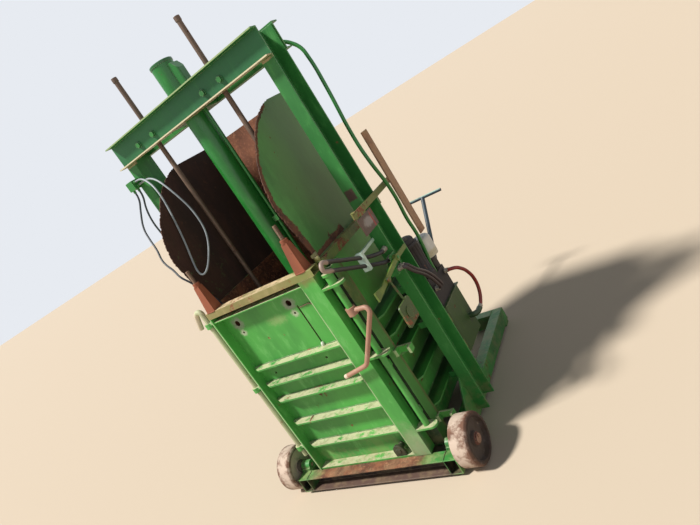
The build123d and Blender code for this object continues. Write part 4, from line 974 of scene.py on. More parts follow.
@dataclass(frozen=True)
class Hopperplate(Finish):
    """The hopper's side plates: green outside with a dusty middle, dark rust inside and at the rim.

    It reads the plate's two marks: rim, the distance to the edge in widths of the rusted band, and
    outer, which is 1 on the outer face.
    """

    name: str = "hopper_plate"
    band: float = 1.0
    raggedness: float = 1.7
    dusty: Patch = Patch((0.36, 0.02, 1.50), (0.5, 0.27, 0.42), soft=0.5, ragged=0.7, grain=4.0,
                         strength=0.72)
    old_paint: Patch = Patch((-0.35, -0.26, 1.28), (0.2, 0.16, 0.2), soft=0.4, ragged=0.6, grain=8.0,
                             strength=0.6)

    def draw_on(self, canvas: Canvas) -> None:
        """The outer face where the mark outer is 1, the inner one elsewhere, rough where rusted.

        Args:
            canvas: what the finish is drawn with.
        """
        draw = canvas.draw
        outer = draw.node("ShaderNodeAttribute", attribute_name="outer").outputs["Fac"]
        slow = draw.noise(draw.stretch(canvas.place, 1.0, 1.0, 0.4), 3.4, 6.0, 0.7)
        fine = draw.noise(canvas.place, 34.0, 6.0, 0.75)
        ragged = draw.noise(canvas.place, 26.0, 8.0, 0.8)
        eaten = self.eaten(canvas, ragged)
        outside = self.outside(canvas, slow, eaten)
        inside = self.inside(canvas, slow, fine)
        draw.link(draw.blend(draw.step(outer, 0.4, 0.6), inside, outside),
                  canvas.shader.inputs["Base Color"])
        painted = draw.sum("MULTIPLY", outer, draw.sum("SUBTRACT", 1.0, eaten))
        draw.link(draw.between(painted, 0.88, 0.5), canvas.shader.inputs["Roughness"])
        canvas.bump(draw.sum("ADD", draw.sum("MULTIPLY", fine, 0.4), draw.sum("MULTIPLY", ragged, eaten)),
                    0.7, 0.0015)

    def eaten(self, canvas: Canvas, ragged: Socket) -> Socket:
        """Where the outer face has rusted: within the band along the rim, and in a few flakes.

        Args:
            canvas: what the finish is drawn with.
            ragged: fine noise that shifts the band.

        Returns:
            How far each place is eaten.
        """
        draw = canvas.draw
        rim = draw.node("ShaderNodeAttribute", attribute_name="rim").outputs["Fac"]
        shift = draw.sum("MULTIPLY", draw.sum("SUBTRACT", ragged, 0.5), self.raggedness)
        band = draw.step(draw.sum("ADD", rim, shift), self.band, self.band - 0.2)
        return draw.sum("MAXIMUM", band, canvas.flakes(9.0, 0.22))

    def outside(self, canvas: Canvas, slow: Socket,
                eaten: Socket) -> Socket:
        """Green with a dusty middle, and dark scale where it is eaten.

        Args:
            canvas: what the finish is drawn with.
            slow: slow noise.
            eaten: where the face has rusted.

        Returns:
            The outer face's colour.
        """
        draw = canvas.draw
        green = draw.blend(draw.step(slow, 0.38, 0.6), paint(44, 108, 44), paint(70, 146, 66))
        green = draw.blend(canvas.mask(self.dusty), green, paint(92, 118, 76))
        scale = draw.blend(0.5, canvas.rust(12.0).outputs["Color"], paint(56, 38, 30))
        return draw.blend(eaten, green, scale)

    def inside(self, canvas: Canvas, slow: Socket,
               fine: Socket) -> Socket:
        """Dark rust with brown grains, and specks of old paint low at the front.

        Args:
            canvas: what the finish is drawn with.
            slow: slow noise.
            fine: fine noise.

        Returns:
            The inner face's colour.
        """
        draw = canvas.draw
        rusty = draw.blend(draw.step(slow, 0.4, 0.6), paint(44, 28, 22), paint(66, 42, 32))
        grains = draw.sum("MULTIPLY", draw.step(fine, 0.56, 0.72), 0.45)
        rusty = draw.blend(grains, rusty, paint(98, 64, 46))
        specks = draw.sum("MULTIPLY", canvas.flakes(22.0, 0.42), canvas.mask(self.old_paint))
        return draw.blend(specks, rusty, paint(74, 92, 52))


@dataclass(frozen=True)
class Sheath(Finish):
    """Rubber or plastic round a hose or cable: an even colour, dust in slow patches, a soft shine."""

    colour: Colour
    dust: float = 0.35
    dust_colour: Colour = DUST
    rough: float = 0.5

    def draw_on(self, canvas: Canvas) -> None:
        """The colour with slow darker places, dust in flakes, and a fine grain.

        Args:
            canvas: what the finish is drawn with.
        """
        draw = canvas.draw
        dirt = canvas.flakes(14.0, self.dust)
        slow = draw.noise(canvas.place, 9.0, 4.0, 0.6)
        darker = tuple(part * 0.6 for part in self.colour)
        tone = draw.blend(draw.step(slow, 0.35, 0.65), darker, self.colour)
        tone = draw.blend(draw.sum("MULTIPLY", dirt, 0.7), tone, self.dust_colour)
        draw.link(tone, canvas.shader.inputs["Base Color"])
        draw.link(draw.between(dirt, self.rough, 0.85), canvas.shader.inputs["Roughness"])
        canvas.bump(draw.noise(canvas.place, 260.0, 2.0, 0.6), 0.35, 0.0004)


@dataclass
class Paintshop:
    """Every finish of the press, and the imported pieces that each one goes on."""

    plan: Plan
    effects: Effects
    ready: dict[str, bpy.types.Material] = field(default_factory=dict)

    @staticmethod
    def frame_coats() -> tuple[Finish, ...]:
        """Paint of the uprights and crosshead, paler along the crosshead's flange edges by a painted
        highlight over wear, with painted shade on its web under the top flange.
        """
        return (
            Coat("frame_paint", paint(50, 128, 58), paint(30, 92, 42), paint(80, 156, 82), rust=0.17,
                 edge=0.6,
                 patches=(
                     Patch((0.518, -0.066, 1.297), (0.024, 0.03, 0.027), paint(66, 46, 40), Form.BOX,
                           soft=0.15, ragged=0.6, grain=30.0),
                     # Painted highlight over wear and dirt: the crosshead's lower flange, pale beige.
                     Patch((0.0, -0.10, 1.956), (0.6, 0.05, 0.007), paint(176, 160, 124), Form.BOX,
                           soft=0.15, ragged=1.6, grain=26.0, strength=0.85),
                     # Painted shade: the crosshead's web darkened under its top flange.
                     Patch((0.0, -0.071, 2.0225), (0.63, 0.008, 0.056), paint(34, 96, 66), Form.BOX,
                           soft=0.1, ragged=0.4, grain=6.0, strength=0.6),
                     # Painted highlights over wear: pale lines along the front edges of the lower and
                     # upper flanges.
                     Patch((0.0, -0.1085, 1.963), (0.63, 0.002, 0.0034), paint(226, 214, 184),
                           Form.BOX, soft=0.2, ragged=0.7, grain=30.0, strength=0.9),
                     Patch((0.0, -0.1085, 2.082), (0.63, 0.002, 0.0034), paint(170, 190, 138),
                           Form.BOX, soft=0.2, ragged=1.0, grain=24.0, strength=0.75),
                 )),
        )

    @staticmethod
    def box_coats() -> tuple[Finish, ...]:
        """Paint of the box and door, ground off round the lifting holes, with painted shade in the gap by
        the corner stiffener, and of the side ribs, nearly black with painted shade.

        Returns:
            The finishes.
        """
        hole_x, hole_z, pin_drop = (-0.261, 0.099), 1.033, 0.056
        ground = tuple(
            Patch((x, -0.335, hole_z), (0.033, 0.03, 0.031), paint(140, 146, 132), soft=0.5, ragged=2.0,
                  grain=40.0, strength=0.9) for x in hole_x)
        ground_low = tuple(
            Patch((x, -0.335, hole_z - pin_drop), (0.019, 0.03, 0.017), paint(170, 178, 154), soft=0.5,
                  ragged=1.8, grain=55.0, strength=0.9) for x in hole_x)
        keeper_ears = tuple(
            Patch((x, -0.2885, z), (0.0066, 0.003, 0.0175), paint(206, 222, 176), Form.BOX, soft=0.3,
                  ragged=0.9, grain=60.0, strength=0.85)
            for x in (0.4215, 0.4935) for z in (0.213, 0.605))
        inside_box = Patch((0.0, 0.003, 0.64), (0.3478, 0.3345, 0.54), form=Form.BOX, soft=0.002,
                           ragged=0.0)
        return (
            Coat("box_paint", paint(76, 162, 70), paint(48, 120, 52), rust=0.22, top=0.9,
                 top_colour=paint(188, 184, 150),
                 patches=(inside_box, *ground, *ground_low,
                          Patch((-0.352, -0.389, 0.62), (0.006, 0.005, 0.50), CHALK, Form.BOX,
                                ragged=1.0, grain=9.0, strength=0.8),
                          Patch((-0.02, -0.335, 0.975), (0.05, 0.02, 0.02), paint(150, 160, 112),
                                soft=0.8, ragged=3.0, grain=60.0, strength=0.5),
                          Patch((0.315, -0.389, 0.15), (0.06, 0.02, 0.11), paint(158, 158, 134),
                                soft=0.9, ragged=2.2, grain=18.0, strength=0.6),
                          Patch((0.32, -0.389, 1.119), (0.055, 0.02, 0.022), paint(120, 104, 62),
                                soft=0.9, ragged=2.6, grain=30.0, strength=0.8),
                          Patch((0.412, -0.300, 0.96), (0.012, 0.06, 0.11), soft=0.5, ragged=2.6,
                                grain=22.0, strength=0.7),
                          Patch((0.414, -0.254, 0.60), (0.006, 0.012, 0.50), paint(112, 88, 58),
                                Form.BOX, soft=0.4, ragged=2.0, grain=11.0, strength=0.8),
                          Patch((0.415, -0.292, 0.62), (0.004, 0.042, 0.54), paint(56, 96, 42),
                                Form.BOX, soft=0.5, ragged=1.8, grain=9.0, strength=0.6),
                          # Painted shade: the corner stiffener's front face near black, standing in for
                          # the shaded gap beside the latch bar.
                          Patch((0.382, -0.3294, 0.62), (0.0325, 0.004, 0.52), paint(18, 20, 14),
                                Form.BOX, soft=0.02, ragged=0.1, strength=0.92),
                          *keeper_ears,
                          Patch((0.3525, 0.12, 0.76), (0.006, 0.2, 0.3), paint(104, 98, 60),
                                Form.BOX, soft=0.9, ragged=2.6, grain=8.0, strength=0.5),
                          Patch((0.262, -0.389, 0.60), (0.005, 0.006, 0.5), CHALK, Form.BOX,
                                ragged=1.4, grain=8.0, strength=0.7),
                          Patch((-0.20, -0.36, 0.395), (0.012, 0.03, 0.035), ragged=1.5, grain=40.0))),
            Coat("side_rib_paint_and_shade", paint(50, 120, 48), paint(28, 76, 30), paint(84, 140, 66), rust=0.24,
                 top=0.25, top_colour=paint(92, 110, 52), edge=0.3, edge_colour=paint(128, 146, 84),
                 # Painted shade: the side ribs darkened nearly to black over their faces.
                 patches=(Patch((0.352, 0.04, 0.62), (0.046, 0.289, 0.56), paint(16, 28, 14), Form.BOX,
                                soft=0.3, ragged=0.3, grain=12.0, strength=0.8),)),
        )

    @staticmethod
    def base_coats() -> tuple[Finish, ...]:
        """Paint of the base, with the front channel's rust, painted shade on the channel's web and inside
        the rails' dark open ends, and a painted shadow at the rear right.
        """
        # Painted shade: near black inside the open front ends of the side rails.
        shaded_rail_ends = tuple(
            Patch((x, -0.39, 0.0625), (0.0280, 0.055, 0.038), paint(20, 24, 18), Form.BOX, soft=0.02,
                  ragged=0.0) for x in (0.4575, -0.4575))
        return (
            Coat("base_paint", paint(62, 140, 62), paint(42, 100, 46), rust=0.3, top=0.5,
                 top_colour=paint(126, 158, 96), mud=0.35,
                 patches=(
                     # Painted shade: the front channel's web, near black inside the channel.
                     Patch((0.0, -0.405, 0.060), (0.43, 0.0665, 0.0405), paint(32, 24, 22), Form.BOX,
                           soft=0.05, ragged=0.1),
                     Patch((0.0, -0.42, 0.024), (0.43, 0.055, 0.007), paint(92, 72, 64), Form.BOX,
                           soft=0.1, ragged=0.5),
                     *shaded_rail_ends,
                     # Painted shadow: darker green over the base's rear right corner.
                     Patch((0.40, 0.55, 0.07), (0.16, 0.19, 0.06), paint(36, 66, 44), soft=0.8,
                           ragged=1.4, grain=9.0, strength=0.6),
                     Patch((-0.02, -0.43, 0.108), (0.34, 0.05, 0.010), form=Form.BOX, soft=0.2,
                           ragged=1.0, grain=9.0),
                 )),
        )

    @staticmethod
    def door_and_ram_coats() -> tuple[Finish, ...]:
        """Rusty rails and horns, the ram's glossy paint, the rods and the hopper's back."""
        return (
            Coat("rusty_rail", paint(146, 138, 90), paint(114, 112, 64), paint(182, 166, 122), rust=0.44,
                 rust_scale=9.0, top=0.9, top_colour=paint(206, 182, 146), edge=0.5,
                 edge_colour=paint(208, 184, 150),
                 patches=(Patch((0.32, -0.36, 1.135), (0.10, 0.06, 0.05), paint(116, 132, 68),
                                soft=0.9, ragged=2.6, grain=26.0, strength=0.7),)),
            # Painted shade over dark rusty paint: the door's foot lug coloured near black for the shade
            # that it stands in.
            Coat("foot_lug_shaded_paint", paint(44, 56, 38), paint(26, 34, 26), paint(74, 66, 50), rust=0.4,
                 top=0.2, mud=0.2),
            Coat("horn_rust", paint(146, 84, 58), paint(108, 62, 44), paint(166, 106, 78), rust=0.22,
                 top=0.1, edge=0.25, edge_colour=paint(160, 116, 90), rough=0.85),
            Coat("side_rail_paint", paint(98, 118, 56), paint(62, 88, 40), paint(140, 146, 90), rust=0.42,
                 top=0.7, top_colour=paint(150, 138, 88)),
            Coat("ram_paint", paint(42, 126, 52), paint(32, 104, 42), paint(62, 146, 68), rust=0.08,
                 edge=0.25, top=0.2, rough=0.3, lumps=0.12, mud=0.2,
                 patches=(Patch((-0.02, 0.0, 2.237), (0.08, 0.08, 0.012), paint(40, 98, 48), Form.BOX,
                                soft=0.2, ragged=0.3),)),
            Coat("polished_rod", paint(186, 186, 188), paint(170, 170, 174), paint(204, 204, 206),
                 rust=0.04, edge=0.0, top=0.0, mud=0.0, rough=0.14, metal=1.0, lumps=0.02),
            Coat("rod_rust", paint(112, 92, 78), paint(70, 58, 52), paint(164, 142, 126), rust=0.36,
                 rust_scale=12.0, edge=0.2, top=0.0, mud=0.0, rough=0.6, metal=0.3,
                 grain=(1.0, 1.0, 0.2)),
            Coat("hopper_back_rust", paint(60, 124, 58), rust=0.3, rust_facing=(0.0, -1.0, 0.0),
                 top=0.1,
                 patches=(Patch((0.05, 0.33, 1.72), (0.28, 0.03, 0.12), paint(160, 104, 80),
                                soft=0.6, ragged=1.5, grain=12.0, strength=0.6),)),
        )

    @staticmethod
    def handled_coats() -> tuple[Finish, ...]:
        """The wheels, axles, hinge rod and both handles, worn by use, with painted shade on the wheels'
        side faces and a painted highlight on the tow handle's upper faces.
        """
        return (
            Coat("wheel_iron", paint(112, 76, 60), paint(74, 50, 40), paint(150, 116, 96), rust=0.36,
                 rust_scale=10.0, top=0.0, edge=0.25, edge_colour=paint(130, 104, 88), mud=0.1,
                 rough=0.85, lumps=1.0, patches=tuple(
                     patch for side in (-1, 1) for patch in (
                         Patch((side * 0.540, -0.345, 0.12), (0.052, 0.15, 0.15),
                               paint(202, 184, 168), soft=0.35, ragged=3.0, grain=16.0,
                               strength=0.85),
                         # Painted shade over the rusty iron: both side faces of each wheel darkened well
                         # below the iron's own brown.
                         Patch((side * 0.608, -0.345, 0.12), (0.085, 0.116, 0.116),
                               paint(36, 25, 21), soft=0.1, ragged=0.4, strength=0.88),
                         Patch((side * 0.491, -0.345, 0.12), (0.03, 0.112, 0.112),
                               paint(40, 32, 26), soft=0.1, ragged=0.4, strength=0.85),
                         Patch((side * 0.590, -0.345, 0.12), (0.05, 0.030, 0.030),
                               paint(112, 66, 52), ragged=0.8, grain=30.0, strength=0.8)))),
            Coat("axle_steel", paint(160, 120, 104), paint(112, 78, 66), paint(196, 172, 160), rust=0.4,
                 top=0.0, edge=0.3, mud=0.4, rough=0.6, metal=0.3),
            Coat("hinge_rod_steel", paint(178, 184, 146), paint(122, 124, 92), paint(214, 214, 186),
                 rust=0.3, rust_scale=9.0, edge=0.2, top=0.0, rough=0.6,
                 patches=(Patch((-0.44, -0.375, 1.14), (0.03, 0.04, 0.07), paint(200, 188, 164),
                                ragged=0.8),)),
            Coat("handled_steel", paint(164, 124, 104), paint(130, 90, 72), paint(184, 156, 138),
                 rust=0.3, edge=0.2, edge_colour=paint(204, 184, 168), top=0.0, mud=0.0, rough=0.5,
                 patches=(Patch((0.20, -0.418, 0.634), (0.035, 0.03, 0.02), paint(208, 190, 170),
                                ragged=1.2, grain=30.0),)),
            # Painted highlight: the pale mint top colour, laid over most upper faces of the tow handle by
            # top=0.8.
            Coat("tow_paint", paint(36, 54, 66), paint(26, 38, 50), paint(70, 108, 112), rust=0.15,
                 edge=0.3, edge_colour=paint(120, 136, 132), top=0.8, top_colour=paint(160, 206, 190),
                 rough=0.5),
        )

    @staticmethod
    def pack_coats() -> tuple[Finish, ...]:
        """The power pack and its bars, the lever, the stowed hose, weld metal and small steel parts."""
        return (
            Coat("tank_paint", paint(44, 72, 28), paint(24, 46, 18), paint(70, 98, 42), rust=0.16,
                 top=0.5, top_colour=paint(96, 86, 64), rough=0.5,
                 patches=(Patch((0.59, 0.30, 0.39), (0.05, 0.05, 0.035), paint(40, 62, 34), Form.BOX,
                                soft=0.2, ragged=0.6),)),
            Coat("pack_black", paint(38, 32, 32), paint(22, 18, 18), paint(66, 56, 50), rust=0.26,
                 edge=0.3, edge_colour=paint(104, 88, 74), top=0.5, top_colour=paint(96, 82, 68),
                 rough=0.7, lumps=0.8),
            Coat("filter_grey", paint(214, 214, 210), paint(186, 184, 178), paint(228, 228, 224),
                 rust=0.08, edge=0.2, edge_colour=paint(120, 116, 108), top=0.3,
                 top_colour=paint(150, 140, 124), rough=0.45,
                 patches=(Patch((0.508, 0.299, 0.72), (0.06, 0.06, 0.050), paint(40, 36, 32), Form.BOX,
                                soft=0.02, ragged=0.02),
                          Patch((0.508, 0.299, 0.788), (0.06, 0.06, 0.017), paint(190, 178, 136),
                                Form.BOX, soft=0.5, ragged=0.8, strength=0.75))),
            Coat("bracket_rust", paint(112, 118, 62), paint(74, 90, 44), paint(146, 146, 98), rust=0.5,
                 rust_scale=8.0, edge=0.4, edge_colour=paint(160, 132, 108), top=0.5,
                 top_colour=paint(150, 140, 96), rough=0.65,
                 patches=(
                     Patch((0.57, 0.258, 1.2), (0.012, 0.04, 0.3), form=Form.BOX, soft=0.1),
                     Patch((0.57, 0.258, 1.2), (0.012, 0.036, 0.3), paint(176, 146, 118), Form.BOX,
                           soft=0.5, ragged=1.8, grain=14.0, strength=0.7),
                 )),
            Coat("plate_mark", paint(78, 58, 50), paint(46, 36, 34), paint(112, 92, 82), rust=0.6,
                 edge=0.4, edge_colour=paint(166, 152, 134), top=0.2,
                 patches=(
                     Patch((0.56, -0.12, 1.172), (0.02, 0.045, 0.022), paint(158, 156, 154), soft=0.3,
                           ragged=1.3, grain=40.0, strength=0.6),
                     Patch((0.56, -0.082, 1.165), (0.02, 0.006, 0.034), paint(140, 44, 40), Form.BOX,
                           soft=0.2, ragged=0.8, grain=60.0),
                 )),
            Coat("lever_paint", paint(92, 114, 42), paint(62, 84, 30), paint(128, 146, 66), rust=0.30,
                 edge=0.4, edge_colour=paint(152, 154, 100), top=0.3, mud=0.0),
            Coat("link_paint", paint(54, 80, 34), paint(36, 56, 24), paint(92, 104, 50), rust=0.55,
                 edge=0.4, edge_colour=paint(160, 160, 112), top=0.3, mud=0.0),
            Coat("hose_sleeve", paint(44, 40, 40), paint(26, 24, 24), paint(64, 60, 58), rust=0.12,
                 edge=0.0, top=0.3, top_colour=paint(96, 88, 78), mud=0.0, rough=0.45,
                 patches=(Patch((0.482, -0.475, 1.19), (0.03, 0.05, 0.07), paint(150, 130, 120),
                                Form.BOX, soft=0.1, ragged=0.3),)),
            Coat("clamp_paint", paint(190, 214, 202), paint(132, 176, 160), paint(226, 234, 226),
                 rust=0.2, edge=0.4, edge_colour=paint(200, 200, 192), top=0.3),
            Coat("weld_metal", paint(84, 122, 68), paint(60, 84, 50), paint(150, 160, 120), rust=0.42,
                 edge=0.0, top=0.3, rough=0.6),
            Coat("weld_pale", paint(206, 208, 196), paint(150, 160, 140), paint(226, 226, 218), rust=0.1,
                 edge=0.0, top=0.2, mud=0.0, rough=0.5),
            Coat("stud_steel", paint(120, 96, 78), paint(84, 62, 50), paint(160, 140, 124), rust=0.4,
                 edge=0.0, top=0.0, mud=0.0, rough=0.55, metal=0.4),
            Coat("crimped_steel", paint(150, 144, 132), paint(100, 92, 82), paint(190, 186, 178),
                 rust=0.3, edge=0.2, top=0.0, mud=0.0, rough=0.4, metal=0.6),
        )

    @staticmethod
    def sheaths() -> tuple[Finish, ...]:
        """The covers of the hoses and cables."""
        return (
            Sheath("hose_red", paint(150, 44, 36), dust=0.2, rough=0.4),
            Sheath("hose_black", paint(58, 46, 46), dust=0.35, dust_colour=paint(120, 96, 88)),
            Sheath("cable_pale", paint(150, 160, 166), dust=0.1),
            Sheath("cable_black", paint(52, 58, 66), dust=0.1),
            Sheath("cable_dark", paint(64, 70, 78), dust=0.1),
        )

    def coats(self) -> tuple[Finish, ...]:
        """Every finish, in one row."""
        return (*self.frame_coats(), *self.box_coats(), *self.base_coats(),
                *self.door_and_ram_coats(), *self.handled_coats(), *self.pack_coats(), Hopperplate(),
                *self.sheaths())

    def mix(self) -> None:
        """Builds every finish once."""
        for coat in self.coats():
            self.ready[coat.name] = coat.material(self.effects, self.plan)

    def dress(self, nodes: dict[str, bpy.types.Object]) -> None:
        """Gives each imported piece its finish.

        Args:
            nodes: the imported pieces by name.
        """
        worn_by = {
            "frame_paint": ("uprights", "upright_gussets", "crosshead_channels", "guide_blocks",
                            "guide_bolts", "ram_saddles", "valve_block", "lever_lug", "cable_block",
                            "axle_blocks"),
            "box_paint": ("box_walls", "front_stiffeners", "door_sheet", "door_hinge_stile",
                          "door_post", "door_ribs", "door_hinge_lugs", "box_brackets", "latch_lugs",
                          "latch_bar", "tow_bracket"),
            "side_rib_paint_and_shade": ("box_ribs",),
            "base_paint": ("base_rails", "base_cross_members", "floor_plate", "platen"),
            "rusty_rail": ("door_top_rail",),
            "foot_lug_shaded_paint": ("door_foot_lug",),
            "horn_rust": ("door_horns",),
            "side_rail_paint": ("box_top_rails",),
            "ram_paint": ("ram_barrel", "ram_gland", "port_cover", "ram_pipes", "riser_pipe"),
            "polished_rod": ("piston_rod",),
            "rod_rust": ("guide_rods",),
            "hopper_back_rust": ("hopper_back",),
            "wheel_iron": ("wheel_left", "wheel_right"),
            "axle_steel": ("wheel_axles",),
            "hinge_rod_steel": ("hinge_rod",),
            "handled_steel": ("crank_handle",),
            "tow_paint": ("tow_handle",),
            "tank_paint": ("oil_tank",),
            "pack_black": ("pump_casing",),
            "plate_mark": ("bracket_plate",),
            "lever_paint": ("control_lever",),
            "link_paint": ("control_link",),
            "clamp_paint": ("hose_clamp",),
            "hose_red": ("red_hose",),
            "hose_black": ("valve_hoses",),
            "hose_sleeve": ("stowed_hose",),
            "hopper_plate": ("hopper_sides",),
            "cable_pale": ("cable_white",),
            "cable_black": ("cable_black",),
            "cable_dark": ("cable_grey",),
        }
        rounded = soft_edges()
        for finish, names in worn_by.items():
            for name in names:
                node = nodes[name]
                node.data.materials.clear()
                node.data.materials.append(self.ready[finish])
                soften(node, rounded)
        LOG.info("dressed %d packed pieces", sum(len(names) for names in worn_by.values()))


def soft_edges() -> bpy.types.NodeTree:
    """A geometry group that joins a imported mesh's loose triangles and shades them smoothly.

    Returns:
        The node group.
    """
    tree = bpy.data.node_groups.new("joined_and_smooth", "GeometryNodeTree")
    tree.interface.new_socket("Geometry", in_out="INPUT", socket_type="NodeSocketGeometry")
    tree.interface.new_socket("Geometry", in_out="OUTPUT", socket_type="NodeSocketGeometry")
    draw = Sketch(tree)
    given, out = draw.node("NodeGroupInput"), draw.node("NodeGroupOutput")
    join = draw.node("GeometryNodeMergeByDistance")
    join.inputs["Distance"].default_value = 1e-5
    smooth = draw.node("GeometryNodeSetShadeSmooth")
    draw.link(given.outputs[0], join.inputs["Geometry"])
    draw.link(join.outputs[0], smooth.inputs["Geometry"])
    draw.link(smooth.outputs[0], out.inputs[0])
    return tree


def soften(node: bpy.types.Object, rounded: bpy.types.NodeTree, width: float = 0.0012) -> None:
    """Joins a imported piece's flat faces and breaks its sharp edges with live modifiers.

    Args:
        node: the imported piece.
        rounded: the group from soft_edges.
        width: how far each sharp edge is cut back.
    """
    join = node.modifiers.new("joined", "NODES")
    join.node_group = rounded
    whole = node.modifiers.new("whole_faces", "DECIMATE")
    whole.decimate_type = "DISSOLVE"
    whole.angle_limit = SAME_FACE
    bevel = node.modifiers.new("broken_edges", "BEVEL")
    bevel.width = width
    bevel.segments = 2
    bevel.limit_method = "ANGLE"
    bevel.angle_limit = SHARP_CORNER
    bevel.use_clamp_overlap = True
    even = node.modifiers.new("even_shading", "WEIGHTED_NORMAL")
    even.keep_sharp = False
    even.weight = 90


def split_sharp(piece: bpy.types.Object, name: str) -> None:
    """Breaks a piece's shading along its sharp corners with a live modifier."""
    split = piece.modifiers.new(name, "EDGE_SPLIT")
    split.split_angle = SPLIT_CORNER


# Cables


@dataclass(frozen=True)
class Cable:
    """One free cable: its route, its real length and where it leaves the block."""

    name: str
    finish: str
    slot: str
    length: float
    route: tuple[Point, ...]

    def lay(self, plan: Plan, shop: Paintshop) -> None:
        """Args:
            plan: moves the route into the model's frame.
            shop: holds its finish.
        """
        radius = 0.005
        data = bpy.data.curves.new(f"{self.name}_run", "CURVE")
        data.dimensions = "3D"
        data.bevel_depth = radius
        data.bevel_resolution = 5
        data.use_fill_caps = True
        spline = data.splines.new("NURBS")
        spline.points.add(len(self.route) - 1)
        points = plan.many(np.array(self.route))
        spline.points.foreach_set("co", np.column_stack([points, np.ones(len(points))]).ravel())
        spline.order_u = 3
        spline.use_endpoint_u = True
        spline.resolution_u = 10
        data.materials.append(shop.ready[self.finish])
        cable = stand(f"{self.name}_run", data)
        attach(cable, "frame")
        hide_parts(self.name)
        LOG.info("laid %s, %.2f m", self.name, self.length)


CABLES = (
    Cable("cable_white", "cable_pale", "cable_pale", 1.47, (
        (-0.523, -0.098, 1.878), (-0.490, -0.098, 1.878), (-0.448, -0.110, 1.860),
        (-0.404, -0.136, 1.832), (-0.362, -0.162, 1.798), (-0.332, -0.186, 1.726),
        (-0.326, -0.212, 1.620), (-0.327, -0.240, 1.500), (-0.325, -0.272, 1.410),
        (-0.316, -0.298, 1.346), (-0.296, -0.300, 1.318), (-0.274, -0.276, 1.330),
        (-0.256, -0.236, 1.376), (-0.240, -0.194, 1.438), (-0.232, -0.168, 1.505),
        (-0.246, -0.152, 1.610), (-0.280, -0.146, 1.700), (-0.318, -0.138, 1.772),
        (-0.360, -0.122, 1.820), (-0.414, -0.106, 1.850), (-0.474, -0.086, 1.858),
        (-0.523, -0.086, 1.858))),
    Cable("cable_black", "cable_black", "cable_dark", 0.935, (
        (-0.574, -0.100, 1.830), (-0.574, -0.100, 1.798), (-0.598, -0.124, 1.742),
        (-0.611, -0.168, 1.662), (-0.575, -0.206, 1.590), (-0.534, -0.240, 1.530),
        (-0.520, -0.268, 1.478), (-0.470, -0.300, 1.440), (-0.412, -0.332, 1.415),
        (-0.366, -0.364, 1.372), (-0.334, -0.350, 1.316), (-0.322, -0.326, 1.248),
        (-0.308, -0.308, 1.186), (-0.302, -0.300, 1.136), (-0.318, -0.298, 1.102),
        (-0.3447, -0.298, 1.102))),
    Cable("cable_grey", "cable_dark", "cable_dark", 0.472, (
        (-0.558, -0.082, 1.830), (-0.558, -0.082, 1.800), (-0.586, -0.094, 1.742),
        (-0.600, -0.101, 1.662), (-0.598, -0.098, 1.580), (-0.582, -0.102, 1.505),
        (-0.556, -0.098, 1.446), (-0.524, -0.092, 1.402), (-0.524, -0.0628, 1.402))),
)


# Worked details


@dataclass
class Maker:
    """What each sub-assembly of details shares: the plan, the finishes and how a piece is filed."""

    plan: Plan
    shop: Paintshop

    def file(self, name: str, sheets: Sequence[Sheet], finish: str, body: str, slot: str,
             marks: dict[str, np.ndarray] | None = None) -> bpy.types.Object:
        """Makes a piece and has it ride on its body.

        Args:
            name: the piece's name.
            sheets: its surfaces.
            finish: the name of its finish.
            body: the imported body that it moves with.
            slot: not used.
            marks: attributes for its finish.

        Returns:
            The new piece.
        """
        piece = make_piece(name, sheets, self.shop.ready[finish], marks)
        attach(piece, body)
        LOG.info("made %s", name)
        return piece

    def welds(self, name: str, lines: Sequence[tuple[Point, Point]], radius: float, body: str,
              slot: str, finish: str = "weld_metal") -> None:
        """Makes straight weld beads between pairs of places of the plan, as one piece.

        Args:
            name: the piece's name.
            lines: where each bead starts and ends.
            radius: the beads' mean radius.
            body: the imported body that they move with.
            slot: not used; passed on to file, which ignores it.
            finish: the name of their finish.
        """
        beads = [
            bead(straight(self.plan.at(*start), self.plan.at(*end)), radius, seed=1.7 * number)
            for number, (start, end) in enumerate(lines)
        ]
        self.file(name, beads, finish, body, slot)


